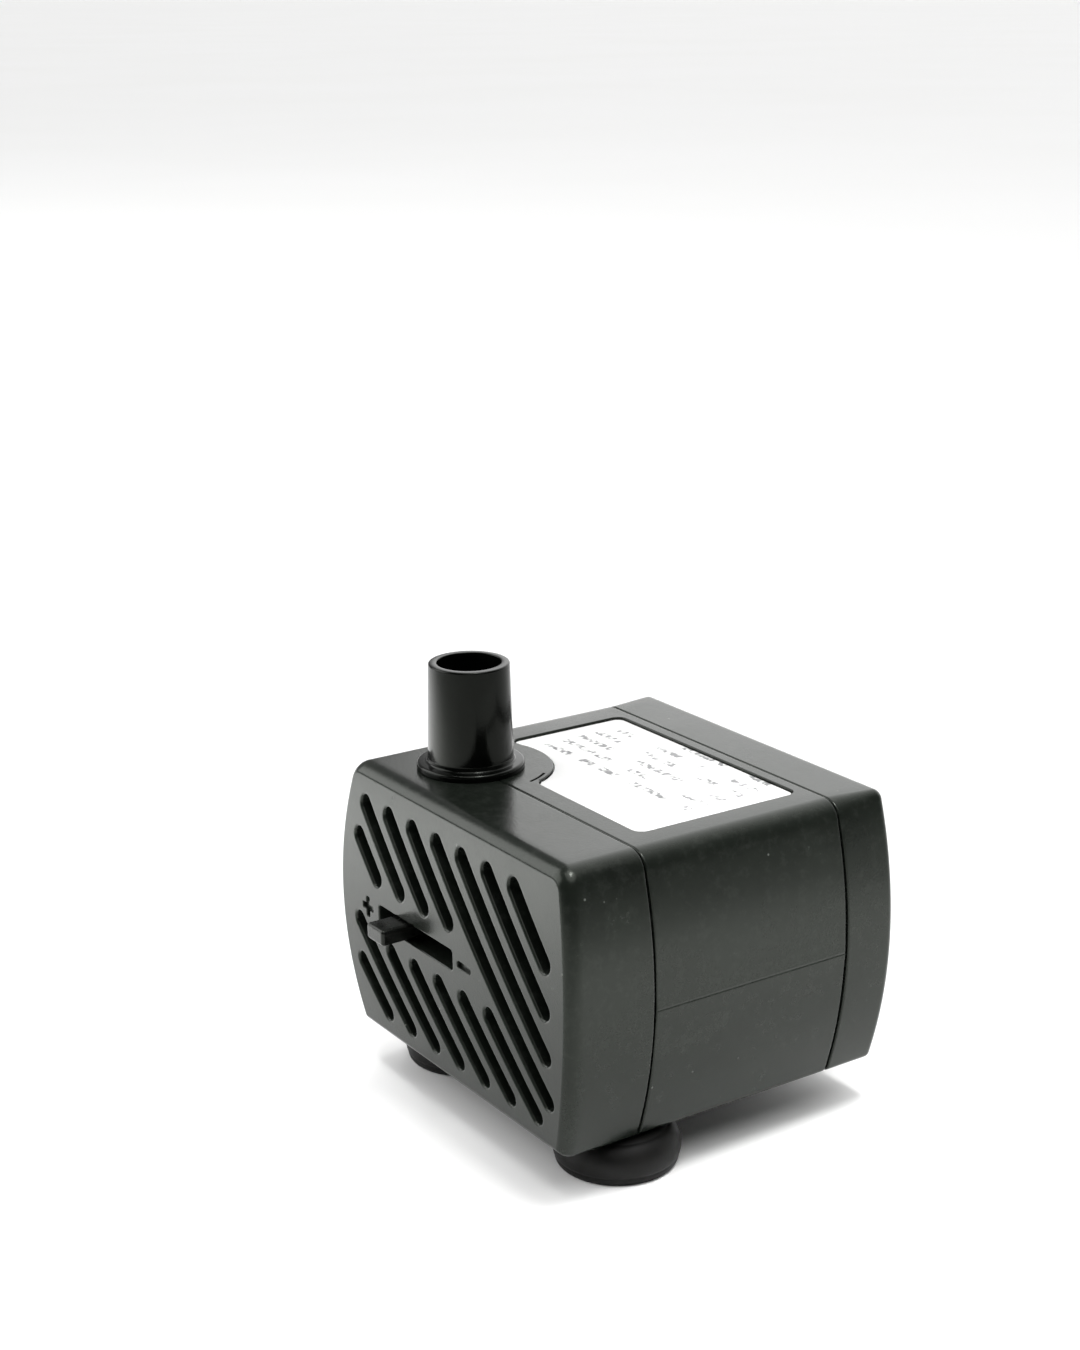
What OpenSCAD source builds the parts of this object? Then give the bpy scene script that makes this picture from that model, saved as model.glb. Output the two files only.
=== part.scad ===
// Fountain submersible pump: a small magnetic-drive water pump that stands on suction cups.
// Millimetres. +Z is up, -Y is the grille side, z = 0 is the surface the cups stand on.

/* [Housing] */
// widest point of the housing, halfway up its bowed sides
body_w = 46; // [36:0.5:70]
// housing length from the front edge to the flat back
body_l = 40.5; // [32:0.5:60]
// housing height without the cups
body_h = 31; // [26:0.5:45]
// how far the sides bow out at half height
side_bulge = 2.67; // [1:0.01:4]
// how far the grille face bows out at half height
front_bulge = 1.0; // [0:0.1:2]
// extra half width of the top over the base
top_flare = 0.85; // [0:0.05:2]
// housing wall thickness
wall = 1.8; // [1.2:0.1:3]
// rounding where the top meets the sides
top_round = 2.5; // [1:0.1:5]
// rounding where the underside meets the sides
base_round = 1.0; // [0.4:0.1:3]
// rounding round the front face and the back face
end_round = 1.5; // [0.5:0.1:3]
// distance from the front edge back to the cover seam
front_seam = 9.35; // [7:0.05:14]
// distance from the front edge back to the rear cover seam
rear_seam = 34.1; // [26:0.1:38]

/* [Grille] */
// slot width
slot_w = 1.9; // [1:0.1:3]
// spacing of the slanted slots, measured across the face
slot_pitch = 4.93; // [3:0.01:8]
// where the slot through the rotor side crosses the base line
slot_start = 4.82; // [0:0.01:10]
// furthest slot end to the left
slot_left = -18.2; // [-20:0.1:-10]
// furthest slot end to the right
slot_right = 18.4; // [10:0.1:20]
// highest slot end above the housing base
slot_top = 26.9; // [20:0.1:30]
// lowest slot end above the housing base
slot_base = 3.6; // [2:0.1:10]
// plain band round the slider window: lower edge
band_low = 11.45; // [8:0.05:14]
// plain band round the slider window: upper edge
band_high = 19.2; // [16:0.05:24]

/* [Flow slider] */
// left end of the window
window_left = -13.9; // [-16:0.1:-8]
// right end of the window
window_right = 1.3; // [-4:0.1:8]
// window height
window_h = 2.2; // [1.5:0.1:4]
// window centre above the housing base
window_z = 15.2; // [10:0.1:20]
// knob centre where the slider rests now
knob_x = -9.3; // [-12:0.1:-1]
// knob width
knob_w = 3.4; // [2:0.1:5]
// knob height
knob_h = 1.8; // [1.2:0.1:3]
// how far the knob stands out of the grille face
knob_out = 3.2; // [1:0.1:6]

/* [Outlet nozzle] */
// nozzle axis, to the left of centre
nozzle_x = -11.0; // [-14:0.1:0]
// nozzle height above the housing
nozzle_h = 11.8; // [8:0.1:20]
// hose spigot radius
nozzle_r = 4.4; // [3:0.05:6]
// water bore radius
bore_r = 3.5; // [2:0.05:5]
// flange radius
flange_r = 5.8; // [5:0.05:8]
// flange thickness
flange_t = 1.0; // [0.6:0.1:2]

/* [Suction cups] */
// gap from the housing down to the surface
foot_h = 4.7; // [3:0.1:8]
// sealing lip radius
cup_r = 6.45; // [4:0.05:10]
// front cups, sideways from the centre
cup_x = 14.9; // [10:0.1:18]
// front cups, behind the front edge
cup_y = 10.2; // [8:0.1:14]
// rear cup, behind the front edge
cup_rear_y = 29.25; // [24:0.05:30]

/* [Rotor] */
// rotor axis, to the left of centre
rotor_x = -3.5; // [-6:0.1:0]
// rotor axis height above the surface
rotor_z = 20; // [16:0.1:24]
// pump chamber radius inside
chamber_r = 10.6; // [8:0.1:11]
// impeller radius
impeller_r = 9.4; // [7:0.1:10]
// number of straight vanes
vanes = 6; // [4:1:8]
// magnet radius
magnet_r = 5.9; // [4:0.1:6.4]
// fixed shaft radius
shaft_r = 1.0; // [0.8:0.05:1.5]
// inside radius of the sealed well round the magnet
well_r = 6.6; // [5:0.1:7]

/* [Label] */
// label width
label_w = 31.7; // [20:0.1:34]
// label length front to back
label_l = 20.15; // [12:0.05:22]
// radius of the clear ring round the nozzle
label_cut = 9.1; // [7:0.1:11]
// depth of the recess the label lies in
label_deep = 0.4; // [0.3:0.05:0.6]
// label thickness
label_t = 0.15; // [0.1:0.05:0.25]

/* [Show] */
// which sub-part to show

/* [Hidden] */
$fn = 64;
eps = 0.02;
yf = -body_l / 2;
yb = body_l / 2;
ys = yf + front_seam;
yr = yf + rear_seam;
zb = foot_h;
zt = foot_h + body_h;
// half width at the base, from which the bowed sides just reach body_w
base_half = body_w / 2 - side_bulge - top_flare / 2 - top_flare * top_flare / (16 * side_bulge);
// inner surface of the grille wall, and the gate plate that slides behind it
face_y = yf + 1.65;
gate_y = face_y + 0.2;
gate_t = 1.2;
gate_left = -17.2;
gate_right = 6.4;
gate_low = zb + 8.2;
gate_high = zb + 22.2;
eye_x = -0.7;
eye_r = 5.5;
// guide rails over and under the gate plate
rail_x = 20.6;
rail_end = 17;
rail_t = 1.6;
rail_low = zb + 6.2;
rail_high = zb + 24.2;
lip_h = 3;
// snap tongues of the front cover
tongue_t = 1.2;
tongue_gap = 0.15;
tongue_l = 2.5;
// bulkhead, pump drum and sealed well, front to back
bulk_y = -5.2;
bulk_t = 2.0;
plate_y = -16.0;
plate_t = 1.6;
drum_r = 12.2;
skirt_y = bulk_y - 0.8;
collar_r = 13.4;
well_end = 12.4;
well_t = 1.0;
intake_r = 6;
hub_r = 3.2;
bush_r = 2.2;
rear_bush_r = 2.6;
shaft_front = -15.7;
shaft_end = 12.2;
disc_y = -7.6;
vane_y = -13.6;
vane_t = 0.9;
sleeve_r = 2.5;
magnet_y = -4.5;
magnet_end = 10.0;
// outlet stem and the socket it plugs into
stem_r = 4.2;
stem_low = zt - 5.5;
stem_hole_r = 4.6;
socket_r = 5.4;
socket_in = 4.25;
socket_top = zt - wall - 0.4;
// cord gland: place, neck, inner flange, cord hole and outer end
gland_x = 12;
gland_z = 24;
gland_r = 2.95;
gland_flange_r = 4.2;
cord_r = 1.6;
gland_end = front_bulge + knob_out - yf;
// suction cup sockets and stems
boss_r = 3.6;
boss_h = 3.6;
peg_r = 2.1;
peg_h = 2.6;
// stator stack, coil and pins
stack_y = 1.5;
stack_l = 9;
pole_x = -12;
pole_w = 17;
pole_t = 3.6;
bar_x = 11.5;
bar_w = 4.5;
leg_low = 8.4;
leg_high = 31.6;
leg_t = 5.4;
coil_z = 14.2;
coil_h = 11.6;
pin_r = 0.4;
pin_h = 3;
// straight steps up each side of the cross-section
rows = 8;

// half width of the housing at height z above its base
function half_w(z) = base_half + top_flare * z / body_h
  + 4 * side_bulge * (z / body_h) * (1 - z / body_h);

// lean of the side at height z, outwards going up
function lean(z) = atan(top_flare / body_h + 4 * side_bulge / body_h * (1 - 2 * z / body_h));

// right-hand edge of the cross-section from the base up, drawn d inside the outer surface
function edge_right(d) = let(
  rb = max(base_round - d, 0.2),
  rt = max(top_round - d, 0.2),
  low = d + rb,
  high = body_h - d - rt,
  tb = lean(low),
  tt = lean(high),
  xb = half_w(low) - (d + rb) / cos(tb),
  xt = half_w(high) - (d + rt) / cos(tt)
) concat(
  [for (i = [0:4]) let(a = -90 + (90 - tb) * i / 4) [xb + rb * cos(a), low + rb * sin(a)]],
  [for (i = [1:rows]) let(z = low + (high - low) * i / (rows + 1))
    [half_w(z) - d / cos(lean(z)), z]],
  [for (i = [0:5]) let(a = -tt + (90 + tt) * i / 5) [xt + rt * cos(a), high + rt * sin(a)]]
);

// whole cross-section, d inside the outer surface
function section(d) = let(e = edge_right(d), n = len(e))
  concat(e, [for (i = [n - 1:-1:0]) [-e[i][0], e[i][1]]]);

// how far the grille face stands forward at height z above the base
function bow(z) = 4 * front_bulge * (z / body_h) * (1 - z / body_h);

// the cross-section run from y1 back to y2
module run(d, y1, y2) {
  translate([0, y2, zb])
    rotate([90, 0, 0])
      linear_extrude(y2 - y1)
        polygon(section(d));
}

// housing end with rounded edges: front edge at y = a, cut square at y = b
module end_block(a, b, bowed) {
  n = len(section(0));
  steps = 4;
  r = end_round;
  rings = concat(
    [for (j = [0:steps]) let(t = j * 90 / steps, s = section(r * (1 - sin(t))))
      [for (p = s) [p[0], a + r * (1 - cos(t)) - bowed * bow(p[1]), p[1] + zb]]],
    [[for (p = section(0)) [p[0], b, p[1] + zb]]]
  );
  pts = [for (ring = rings) each ring];
  m = len(rings);
  cap = [for (i = [0:n / 2 - 2]) [n - 1 - i, n - 2 - i, i + 1, i]];
  skin = [for (j = [0:m - 2]) for (i = [0:n - 1]) for (h = [0, 1])
    let(p = j * n + i, q = j * n + (i + 1) % n)
    h == 0 ? [p, q, q + n] : [p, q + n, p + n]];
  back = [[for (i = [0:n - 1]) (m - 1) * n + i]];
  polyhedron(pts, concat(cap, skin, back), convexity = 4);
}

// cylinder along Y from y1 to y2
module rod(x, z, r, y1, y2) {
  translate([x, y2, z])
    rotate([90, 0, 0])
      cylinder(r = r, h = y2 - y1);
}

// block from one corner to the other
module block(x1, y1, z1, x2, y2, z2) {
  translate([x1, y1, z1])
    cube([x2 - x1, y2 - y1, z2 - z1]);
}

// one round-ended slot along the 45 degree line x + z = c, from x1 to x2
module slot(c, x1, x2) {
  len = (x2 - x1) * sqrt(2);
  translate([x1, yf + 3, zb + c - x1])
    rotate([90, 0, 0])
      rotate([0, 0, -45])
        linear_extrude(6)
          union() {
            translate([0, -slot_w / 2])
              square([len, slot_w]);
            circle(d = slot_w, $fn = 24);
            translate([len, 0])
              circle(d = slot_w, $fn = 24);
          }
}

// every slot of the grille
module slots() {
  for (k = [-3:7]) {
    c = slot_start + slot_pitch * k;
    from = max(slot_left, c - slot_top);
    to = min(slot_right, c - slot_base);
    mid = c - window_z;
    if (mid > 6) {
      slot(c, from, to);
    } else {
      if (c - band_high > slot_left + 1.5) {
        slot(c, from, c - band_high);
      }
      slot(c, c - band_low < -15 ? slot_left : c - band_low, to);
    }
  }
}

// the clear hole the nozzle stem drops through, shared by cover and body
module nozzle_hole() {
  translate([nozzle_x, ys, zt - wall - 2])
    cylinder(r = stem_hole_r, h = wall + 4);
}

// one guide rail with its lip, standing off the grille wall: z1..z2 for the rail, z3..z4 for the lip
module rail(z1, z2, z3, z4) {
  block(-rail_x, face_y - 1, z1, rail_end, face_y + 1.9, z2);
  block(-rail_x, face_y + 1.6, z3, rail_end, face_y + 2.2, z4);
}

// the plus and minus sunk into the grille face beside the window
module marks() {
  block(-17.45, yf - 3, zb + 14.95, -15.15, yf - 0.65, zb + 15.65);
  block(-16.65, yf - 3, zb + 14.15, -15.95, yf - 0.65, zb + 16.45);
  block(2.3, yf - 3, zb + 14.85, 4.9, yf - 0.65, zb + 15.6);
}

// strainer cover: grille, slider window, plus and minus marks, guide rails and snap tongues
module front_cover() {
  hook = tongue_gap + tongue_t;
  color([0.40, 0.42, 0.40]) {
    difference() {
      end_block(yf, ys, 1);
      difference() {
        run(wall, face_y, ys + 1);
        rail(rail_high - rail_t, rail_high, rail_high - lip_h, rail_high);
        rail(rail_low, rail_low + rail_t, rail_low, rail_low + lip_h);
        block(-2, ys - 4, zt - wall - hook, 15, ys + 1, zt);
        block(3, ys - 4, zb, 11, ys + 1, zb + wall + hook);
      }
      slots();
      block(window_left, yf - 3, zb + window_z - window_h / 2,
        window_right, face_y + 0.5, zb + window_z + window_h / 2);
      marks();
      nozzle_hole();
      for (s = [-1, 1])
        translate([s * cup_x, yf + cup_y, zb - 1])
          cylinder(r = boss_r + 0.3, h = wall + 3);
    }
    block(-1, ys - 1, zt - wall - hook, 14, ys + tongue_l, zt - wall - tongue_gap);
    block(3.5, ys - 1, zb + wall + tongue_gap, 10.5, ys + tongue_l, zb + wall + hook);
  }
}

// flow control: a gate plate with a round opening, and the knob that stands out of the window
module flow_slider() {
  color([0.13, 0.14, 0.14]) {
    difference() {
      block(gate_left, gate_y, gate_low, gate_right, gate_y + gate_t, gate_high);
      rod(eye_x, rotor_z, eye_r, gate_y - 1, gate_y + gate_t + 1);
    }
    block(knob_x - knob_w / 2, yf - front_bulge - knob_out, zb + window_z - knob_h / 2,
      knob_x + knob_w / 2, gate_y + 0.4, zb + window_z + knob_h / 2);
  }
}

// hose spigot with its flange and the stem that plugs into the pump chamber
module outlet_nozzle() {
  color([0.03, 0.03, 0.03])
    translate([nozzle_x, ys, 0])
      difference() {
        union() {
          translate([0, 0, stem_low])
            cylinder(r = stem_r, h = zt - stem_low + 0.5);
          translate([0, 0, zt])
            cylinder(r = flange_r, h = flange_t);
          translate([0, 0, zt + flange_t])
            cylinder(r1 = nozzle_r + 0.25, r2 = nozzle_r, h = 2.4);
          translate([0, 0, zt + flange_t])
            cylinder(r = nozzle_r, h = nozzle_h - flange_t);
        }
        translate([0, 0, stem_low - 1])
          cylinder(r = bore_r, h = nozzle_h + 20);
      }
}

// pump chamber: drum with the intake eye in front and the outlet socket on top
module chamber_cover() {
  color([0.10, 0.11, 0.11])
    difference() {
      union() {
        rod(rotor_x, rotor_z, drum_r, plate_y, skirt_y);
        translate([nozzle_x, ys, rotor_z])
          cylinder(r = socket_r, h = socket_top - rotor_z);
      }
      block(-body_w, skirt_y, 0, body_w, skirt_y + 5, zt);
      rod(rotor_x, rotor_z, chamber_r, plate_y + plate_t, 0);
      translate([nozzle_x, ys, rotor_z])
        cylinder(r = bore_r - 0.2, h = 20);
      translate([nozzle_x, ys, stem_low - 0.3])
        cylinder(r = socket_in, h = 20);
      difference() {
        rod(rotor_x, rotor_z, intake_r, plate_y - 1, plate_y + plate_t + 1);
        rod(rotor_x, rotor_z, hub_r, plate_y - 2, plate_y + plate_t + 2);
        for (a = [90, 210, 330])
          translate([rotor_x, 0, rotor_z])
            rotate([0, a, 0])
              block(0, plate_y - 2, -0.8, intake_r + 2, plate_y + plate_t + 2, 0.8);
      }
      rod(rotor_x, rotor_z, bush_r, plate_y - 1, plate_y + plate_t + 1);
    }
}

// flat rubber ring between the pump chamber and the motor body
module chamber_seal() {
  color([0.05, 0.05, 0.05])
    difference() {
      rod(rotor_x, rotor_z, drum_r - 0.1, skirt_y, bulk_y);
      rod(rotor_x, rotor_z, chamber_r + 0.1, skirt_y - 1, bulk_y + 1);
    }
}

// impeller: straight vanes on a disc, with the sleeve that carries the magnet
module impeller() {
  color([0.85, 0.85, 0.82])
    difference() {
      union() {
        rod(rotor_x, rotor_z, impeller_r + 0.2, disc_y, disc_y + 1);
        rod(rotor_x, rotor_z, 2 * sleeve_r, disc_y + 0.8, magnet_y);
        rod(rotor_x, rotor_z, hub_r, vane_y - 0.2, disc_y + 0.1);
        rod(rotor_x, rotor_z, sleeve_r, disc_y + 0.6, magnet_end);
        for (i = [0:vanes - 1])
          translate([rotor_x, 0, rotor_z])
            rotate([0, i * 360 / vanes, 0])
              block(2, vane_y, -vane_t / 2, impeller_r, disc_y + 0.1, vane_t / 2);
      }
      rod(rotor_x, rotor_z, shaft_r + 0.05, -body_l, body_l);
    }
}

// permanent magnet pressed on the impeller sleeve
module rotor_magnet() {
  color([0.18, 0.18, 0.19])
    difference() {
      rod(rotor_x, rotor_z, magnet_r, magnet_y, magnet_end);
      rod(rotor_x, rotor_z, sleeve_r, magnet_y - 1, magnet_end + 1);
    }
}

// fixed ceramic shaft
module rotor_shaft() {
  color([0.93, 0.92, 0.88])
    rod(rotor_x, rotor_z, shaft_r, shaft_front, shaft_end);
}

// rubber bush that holds the front of the shaft
module front_bush() {
  color([0.07, 0.07, 0.07])
    difference() {
      rod(rotor_x, rotor_z, bush_r, plate_y, plate_y + plate_t);
      rod(rotor_x, rotor_z, shaft_r, shaft_front, plate_y + plate_t + 1);
    }
}

// rubber bush that holds the back of the shaft
module rear_bush() {
  color([0.07, 0.07, 0.07])
    difference() {
      rod(rotor_x, rotor_z, rear_bush_r, magnet_end + 0.8, well_end);
      rod(rotor_x, rotor_z, shaft_r, magnet_end, shaft_end);
    }
}

// ceramic washers at both ends of the rotor
module thrust_washers() {
  color([0.9, 0.9, 0.86])
    for (y = [plate_y + plate_t, magnet_end + 0.4])
      difference() {
        rod(rotor_x, rotor_z, bush_r - 0.1, y, y + 0.4);
        rod(rotor_x, rotor_z, shaft_r + 0.02, y - 1, y + 1);
      }
}

// socket in the underside that takes a suction cup's stem
module cup_boss(x, y) {
  translate([x, y, zb])
    cylinder(r = boss_r, h = boss_h);
}

// outline of the label, g wider all round
module label_outline(g) {
  x1 = -label_w / 2 + 0.15 - g;
  x2 = label_w / 2 + 0.15 + g;
  y1 = ys + 3.0 - g;
  y2 = ys + 3.0 + label_l + g;
  r = 1;
  difference() {
    union() {
      translate([x1 + r, y1])
        square([x2 - x1 - 2 * r, y2 - y1]);
      translate([x1, y1 + r])
        square([x2 - x1, y2 - y1 - 2 * r]);
      for (x = [x1 + r, x2 - r])
        for (y = [y1 + r, y2 - r])
          translate([x, y])
            circle(r = r, $fn = 32);
    }
    translate([nozzle_x, ys])
      circle(r = label_cut - g);
  }
}

// motor housing: bowed shell, bulkhead with the sealed magnet well, cup sockets, label recess
module motor_body() {
  color([0.38, 0.40, 0.38])
    difference() {
      union() {
        difference() {
          run(0, ys, yr);
          run(wall, ys - 1, bulk_y);
          run(wall, bulk_y + bulk_t, yr + 1);
        }
        difference() {
          rod(rotor_x, rotor_z, collar_r, bulk_y - 2.4, bulk_y + 0.5);
          rod(rotor_x, rotor_z, drum_r + 0.1, bulk_y - 3, bulk_y);
          translate([nozzle_x, ys, rotor_z])
            cylinder(r = socket_r + 0.2, h = 20);
        }
        rod(rotor_x, rotor_z, well_r + well_t, bulk_y, well_end + 1.2);
        cup_boss(cup_x, yf + cup_y);
        cup_boss(-cup_x, yf + cup_y);
        cup_boss(0, yf + cup_rear_y);
      }
      difference() {
        rod(rotor_x, rotor_z, well_r, bulk_y - 1, well_end);
        difference() {
          rod(rotor_x, rotor_z, rear_bush_r + 1, magnet_end + 0.8, well_end + 1);
          rod(rotor_x, rotor_z, rear_bush_r, magnet_end, well_end);
        }
      }
      nozzle_hole();
      for (p = [[cup_x, cup_y], [-cup_x, cup_y], [0, cup_rear_y]])
        translate([p[0], yf + p[1], zb - 1])
          cylinder(r = peg_r, h = peg_h + 1.1);
      translate([0, 0, zt - label_deep])
        linear_extrude(2)
          label_outline(0.15);
    }
}

// back cover, bonded on after the stator is potted
module rear_cover() {
  color([0.38, 0.40, 0.38])
    difference() {
      mirror([0, 1, 0])
        end_block(-yb, -yr, 0);
      run(wall, yr - 1, yb - wall);
      rod(gland_x, gland_z, gland_r, yr, yb + 1);
    }
}

// plan of the stator stack, g larger all round: two legs, the bar through the coil, two poles
module stack_plan(g) {
  l = pole_x - g;
  translate([l, leg_low - g])
    square([bar_x + bar_w + g - l, leg_t + 2 * g]);
  translate([l, leg_high - leg_t - g])
    square([bar_x + bar_w + g - l, leg_t + 2 * g]);
  translate([bar_x - g, leg_low])
    square([bar_w + 2 * g, leg_high - leg_low]);
  translate([l, leg_low])
    square([pole_w + 2 * g, leg_t + pole_t + g]);
  translate([l, leg_high - leg_t - pole_t - g])
    square([pole_w + 2 * g, leg_t + pole_t + g]);
}

// C-shaped stack of steel sheets whose two poles clasp the magnet well
module stator_core() {
  color([0.45, 0.46, 0.48])
    translate([0, stack_y + stack_l, 0])
      rotate([90, 0, 0])
        linear_extrude(stack_l)
          difference() {
            stack_plan(0);
            translate([rotor_x, rotor_z])
              circle(r = well_r + well_t + 0.1);
          }
}

// plastic former the coil is wound on
module coil_bobbin() {
  color([0.80, 0.78, 0.70])
    difference() {
      union() {
        block(bar_x - 0.9, stack_y - 0.9, coil_z, bar_x + bar_w + 0.9, stack_y + stack_l + 0.9,
          coil_z + coil_h);
        for (z = [coil_z, coil_z + coil_h - 1])
          block(bar_x - 4, stack_y - 3.8, z, bar_x + bar_w + 4, stack_y + stack_l + 3.8, z + 1);
      }
      block(bar_x - 0.05, stack_y - 0.05, coil_z - 1, bar_x + bar_w + 0.05,
        stack_y + stack_l + 0.05, coil_z + coil_h + 1);
    }
}

// enamelled copper winding
module coil_winding() {
  color([0.72, 0.36, 0.16])
    difference() {
      block(bar_x - 3.4, stack_y - 3.3, coil_z + 1, bar_x + bar_w + 3.4,
        stack_y + stack_l + 3.3, coil_z + coil_h - 1);
      block(bar_x - 0.9, stack_y - 0.9, coil_z, bar_x + bar_w + 0.9,
        stack_y + stack_l + 0.9, coil_z + coil_h);
    }
}

// insulating tape round the winding
module coil_tape() {
  color([0.85, 0.75, 0.25])
    difference() {
      block(bar_x - 3.65, stack_y - 3.55, coil_z + 1.3, bar_x + bar_w + 3.65,
        stack_y + stack_l + 3.55, coil_z + coil_h - 1.3);
      block(bar_x - 3.4, stack_y - 3.3, coil_z, bar_x + bar_w + 3.4,
        stack_y + stack_l + 3.3, coil_z + coil_h);
    }
}

// the two pins the coil ends are soldered to
module terminal_pins() {
  color([0.75, 0.72, 0.62])
    for (x = [bar_x - 2.2, bar_x + bar_w + 2.2])
      translate([x, stack_y + stack_l + 2.9, coil_z + coil_h])
        cylinder(r = pin_r, h = pin_h, $fn = 24);
}

// cast resin that fills the motor housing round the stator
module potting() {
  color([0.12, 0.12, 0.13])
    difference() {
      run(wall + eps, bulk_y + bulk_t, yr + 1.6);
      rod(rotor_x, rotor_z, well_r + well_t + eps, bulk_y, well_end + 1.2 + eps);
      translate([0, stack_y + stack_l + eps, 0])
        rotate([90, 0, 0])
          linear_extrude(stack_l + 2 * eps)
            stack_plan(eps);
      block(bar_x - 4 - eps, stack_y - 3.8 - eps, coil_z - eps, bar_x + bar_w + 4 + eps,
        stack_y + stack_l + 3.8 + eps, coil_z + coil_h + eps);
      for (x = [bar_x - 2.2, bar_x + bar_w + 2.2])
        translate([x, stack_y + stack_l + 2.9, coil_z + coil_h - 0.1])
          cylinder(r = pin_r + eps, h = pin_h + 0.1 + eps, $fn = 24);
      translate([0, yf + cup_rear_y, zb])
        cylinder(r = boss_r + eps, h = boss_h + eps);
    }
}

// rubber gland in the back cover for the supply lead
module cord_gland() {
  color([0.06, 0.06, 0.06])
    difference() {
      union() {
        rod(gland_x, gland_z, gland_flange_r, yb - wall - 1.2, yb - wall);
        rod(gland_x, gland_z, gland_r, yb - wall - 0.5, yb + 0.5);
        translate([gland_x, yb, gland_z])
          rotate([-90, 0, 0])
            cylinder(r1 = 4, r2 = 3, h = gland_end - yb);
      }
      rod(gland_x, gland_z, cord_r, yb - 5, gland_end + 1);
    }
}

// thin self-adhesive label in its recess
module label_plate() {
  color([0.95, 0.95, 0.94])
    translate([0, 0, zt - label_deep])
      linear_extrude(label_t)
        label_outline(0);
}

// one suction cup: rounded bell with a thin lip, a hollow underneath and a push-in stem
module cup(x, y) {
  color([0.05, 0.05, 0.05])
    translate([x, y, 0])
      rotate_extrude()
        polygon([
          [0, 3.0], [3.2, 2.6], [5.0, 1.3], [5.7, 0], [cup_r, 0], [cup_r + 0.2, 0.35],
          [cup_r + 0.3, 1.0], [cup_r + 0.15, 2.2], [cup_r - 0.35, 3.4], [cup_r - 1.2, 4.2],
          [cup_r - 2.6, zb - 0.1], [3.3, zb], [peg_r, zb], [peg_r, zb + peg_h], [0, zb + peg_h]
        ]);
}

// suction cup under the front right corner
module suction_cup_right() {
  cup(cup_x, yf + cup_y);
}

// suction cup under the front left corner
module suction_cup_left() {
  cup(-cup_x, yf + cup_y);
}

// suction cup under the middle of the back
module suction_cup_rear() {
  cup(0, yf + cup_rear_y);
}

front_cover();
flow_slider();
outlet_nozzle();
chamber_cover();
chamber_seal();
impeller();
rotor_magnet();
rotor_shaft();
front_bush();
rear_bush();
thrust_washers();
motor_body();
rear_cover();
stator_core();
coil_bobbin();
coil_winding();
coil_tape();
terminal_pins();
potting();
cord_gland();
label_plate();
suction_cup_right();
suction_cup_left();
suction_cup_rear();
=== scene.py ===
"""Fountain submersible pump: finished shells, rubber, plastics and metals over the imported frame.

Metres, in the CAD frame: +Z up, -Y out of the grille, z = 0 under the suction cups.
Shapes are worked out in millimetres and scaled once, when a mesh is made.
"""

import math
from functools import partial

import bmesh
import bpy
import numpy as np
from mathutils import Euler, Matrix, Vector
from mathutils.geometry import delaunay_2d_cdt


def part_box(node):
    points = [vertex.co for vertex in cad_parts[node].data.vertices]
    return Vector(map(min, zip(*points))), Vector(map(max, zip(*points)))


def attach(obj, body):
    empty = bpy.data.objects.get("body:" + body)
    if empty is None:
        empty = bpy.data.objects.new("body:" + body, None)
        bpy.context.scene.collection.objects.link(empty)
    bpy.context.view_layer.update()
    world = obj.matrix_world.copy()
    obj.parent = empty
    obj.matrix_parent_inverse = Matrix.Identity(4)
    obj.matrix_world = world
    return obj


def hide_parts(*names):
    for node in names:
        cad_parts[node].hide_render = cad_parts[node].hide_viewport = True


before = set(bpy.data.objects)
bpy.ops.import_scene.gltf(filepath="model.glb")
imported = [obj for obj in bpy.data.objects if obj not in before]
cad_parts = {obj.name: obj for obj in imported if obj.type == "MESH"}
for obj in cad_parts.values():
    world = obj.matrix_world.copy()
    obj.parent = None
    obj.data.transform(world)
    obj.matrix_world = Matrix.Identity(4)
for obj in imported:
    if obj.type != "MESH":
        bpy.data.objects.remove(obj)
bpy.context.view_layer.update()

MM = 0.001


# ---------------------------------------------------------------- sizes, in millimetres


def corners_mm(node):
    """Lowest and highest corner of a CAD node, in millimetres."""
    low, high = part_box(node)
    return np.array(low) / MM, np.array(high) / MM


body_low, body_high = corners_mm("motor_body")
cover_low = corners_mm("front_cover")[0]
back_low, back_high = corners_mm("rear_cover")
spout_low, spout_high = corners_mm("outlet_nozzle")
gland_low, gland_high = corners_mm("cord_gland")
knob_low = corners_mm("flow_slider")[0]

# Housing along Z and Y: underside and top, front edge, the two seams, back.
base_z = body_low[2]
top_z = body_high[2]
height = top_z - base_z
front_bulge = 1.0
front_y = cover_low[1] + front_bulge
front_seam = front_y + 9.35
rear_seam = back_low[1]
back_y = back_high[1]
wall = 1.8

# Cross-section: a side leans out by top_flare from base to top and bulges by side_bulge on top of that,
# so that its widest line stands side_reach past its foot.
side_bulge = 2.67
top_flare = 0.85
side_reach = 3.12
base_half = body_high[0] - side_reach

# Edge radii: upper corners in front and at the back, lower corners, front and back rims.
# A rim's arc starts at rim_angle from the face, which leaves a soft crease there.
top_round = 2.5
back_round = 1.2
base_round = 1.0
end_round = 1.8
back_end_round = 0.9
rim_angle = math.radians(24)

# Seams between the shells: edge radius, half the gap on the top and down the sides, and its depth.
seam_round = 0.2
seam_gap_top = 0.035
seam_gap_side = 0.13
seam_depth = 0.9

# The middle shell's parting line: height, half width and depth, and the hollow above and below it.
line_z = 14.9
line_w = 0.11
line_deep = 0.075
trough = 0.12
trough_reach = 3.0

# Distance of a supporting ring from a rounded edge, at openings and at seams.
hold = 0.1
seam_hold = 0.12

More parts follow.
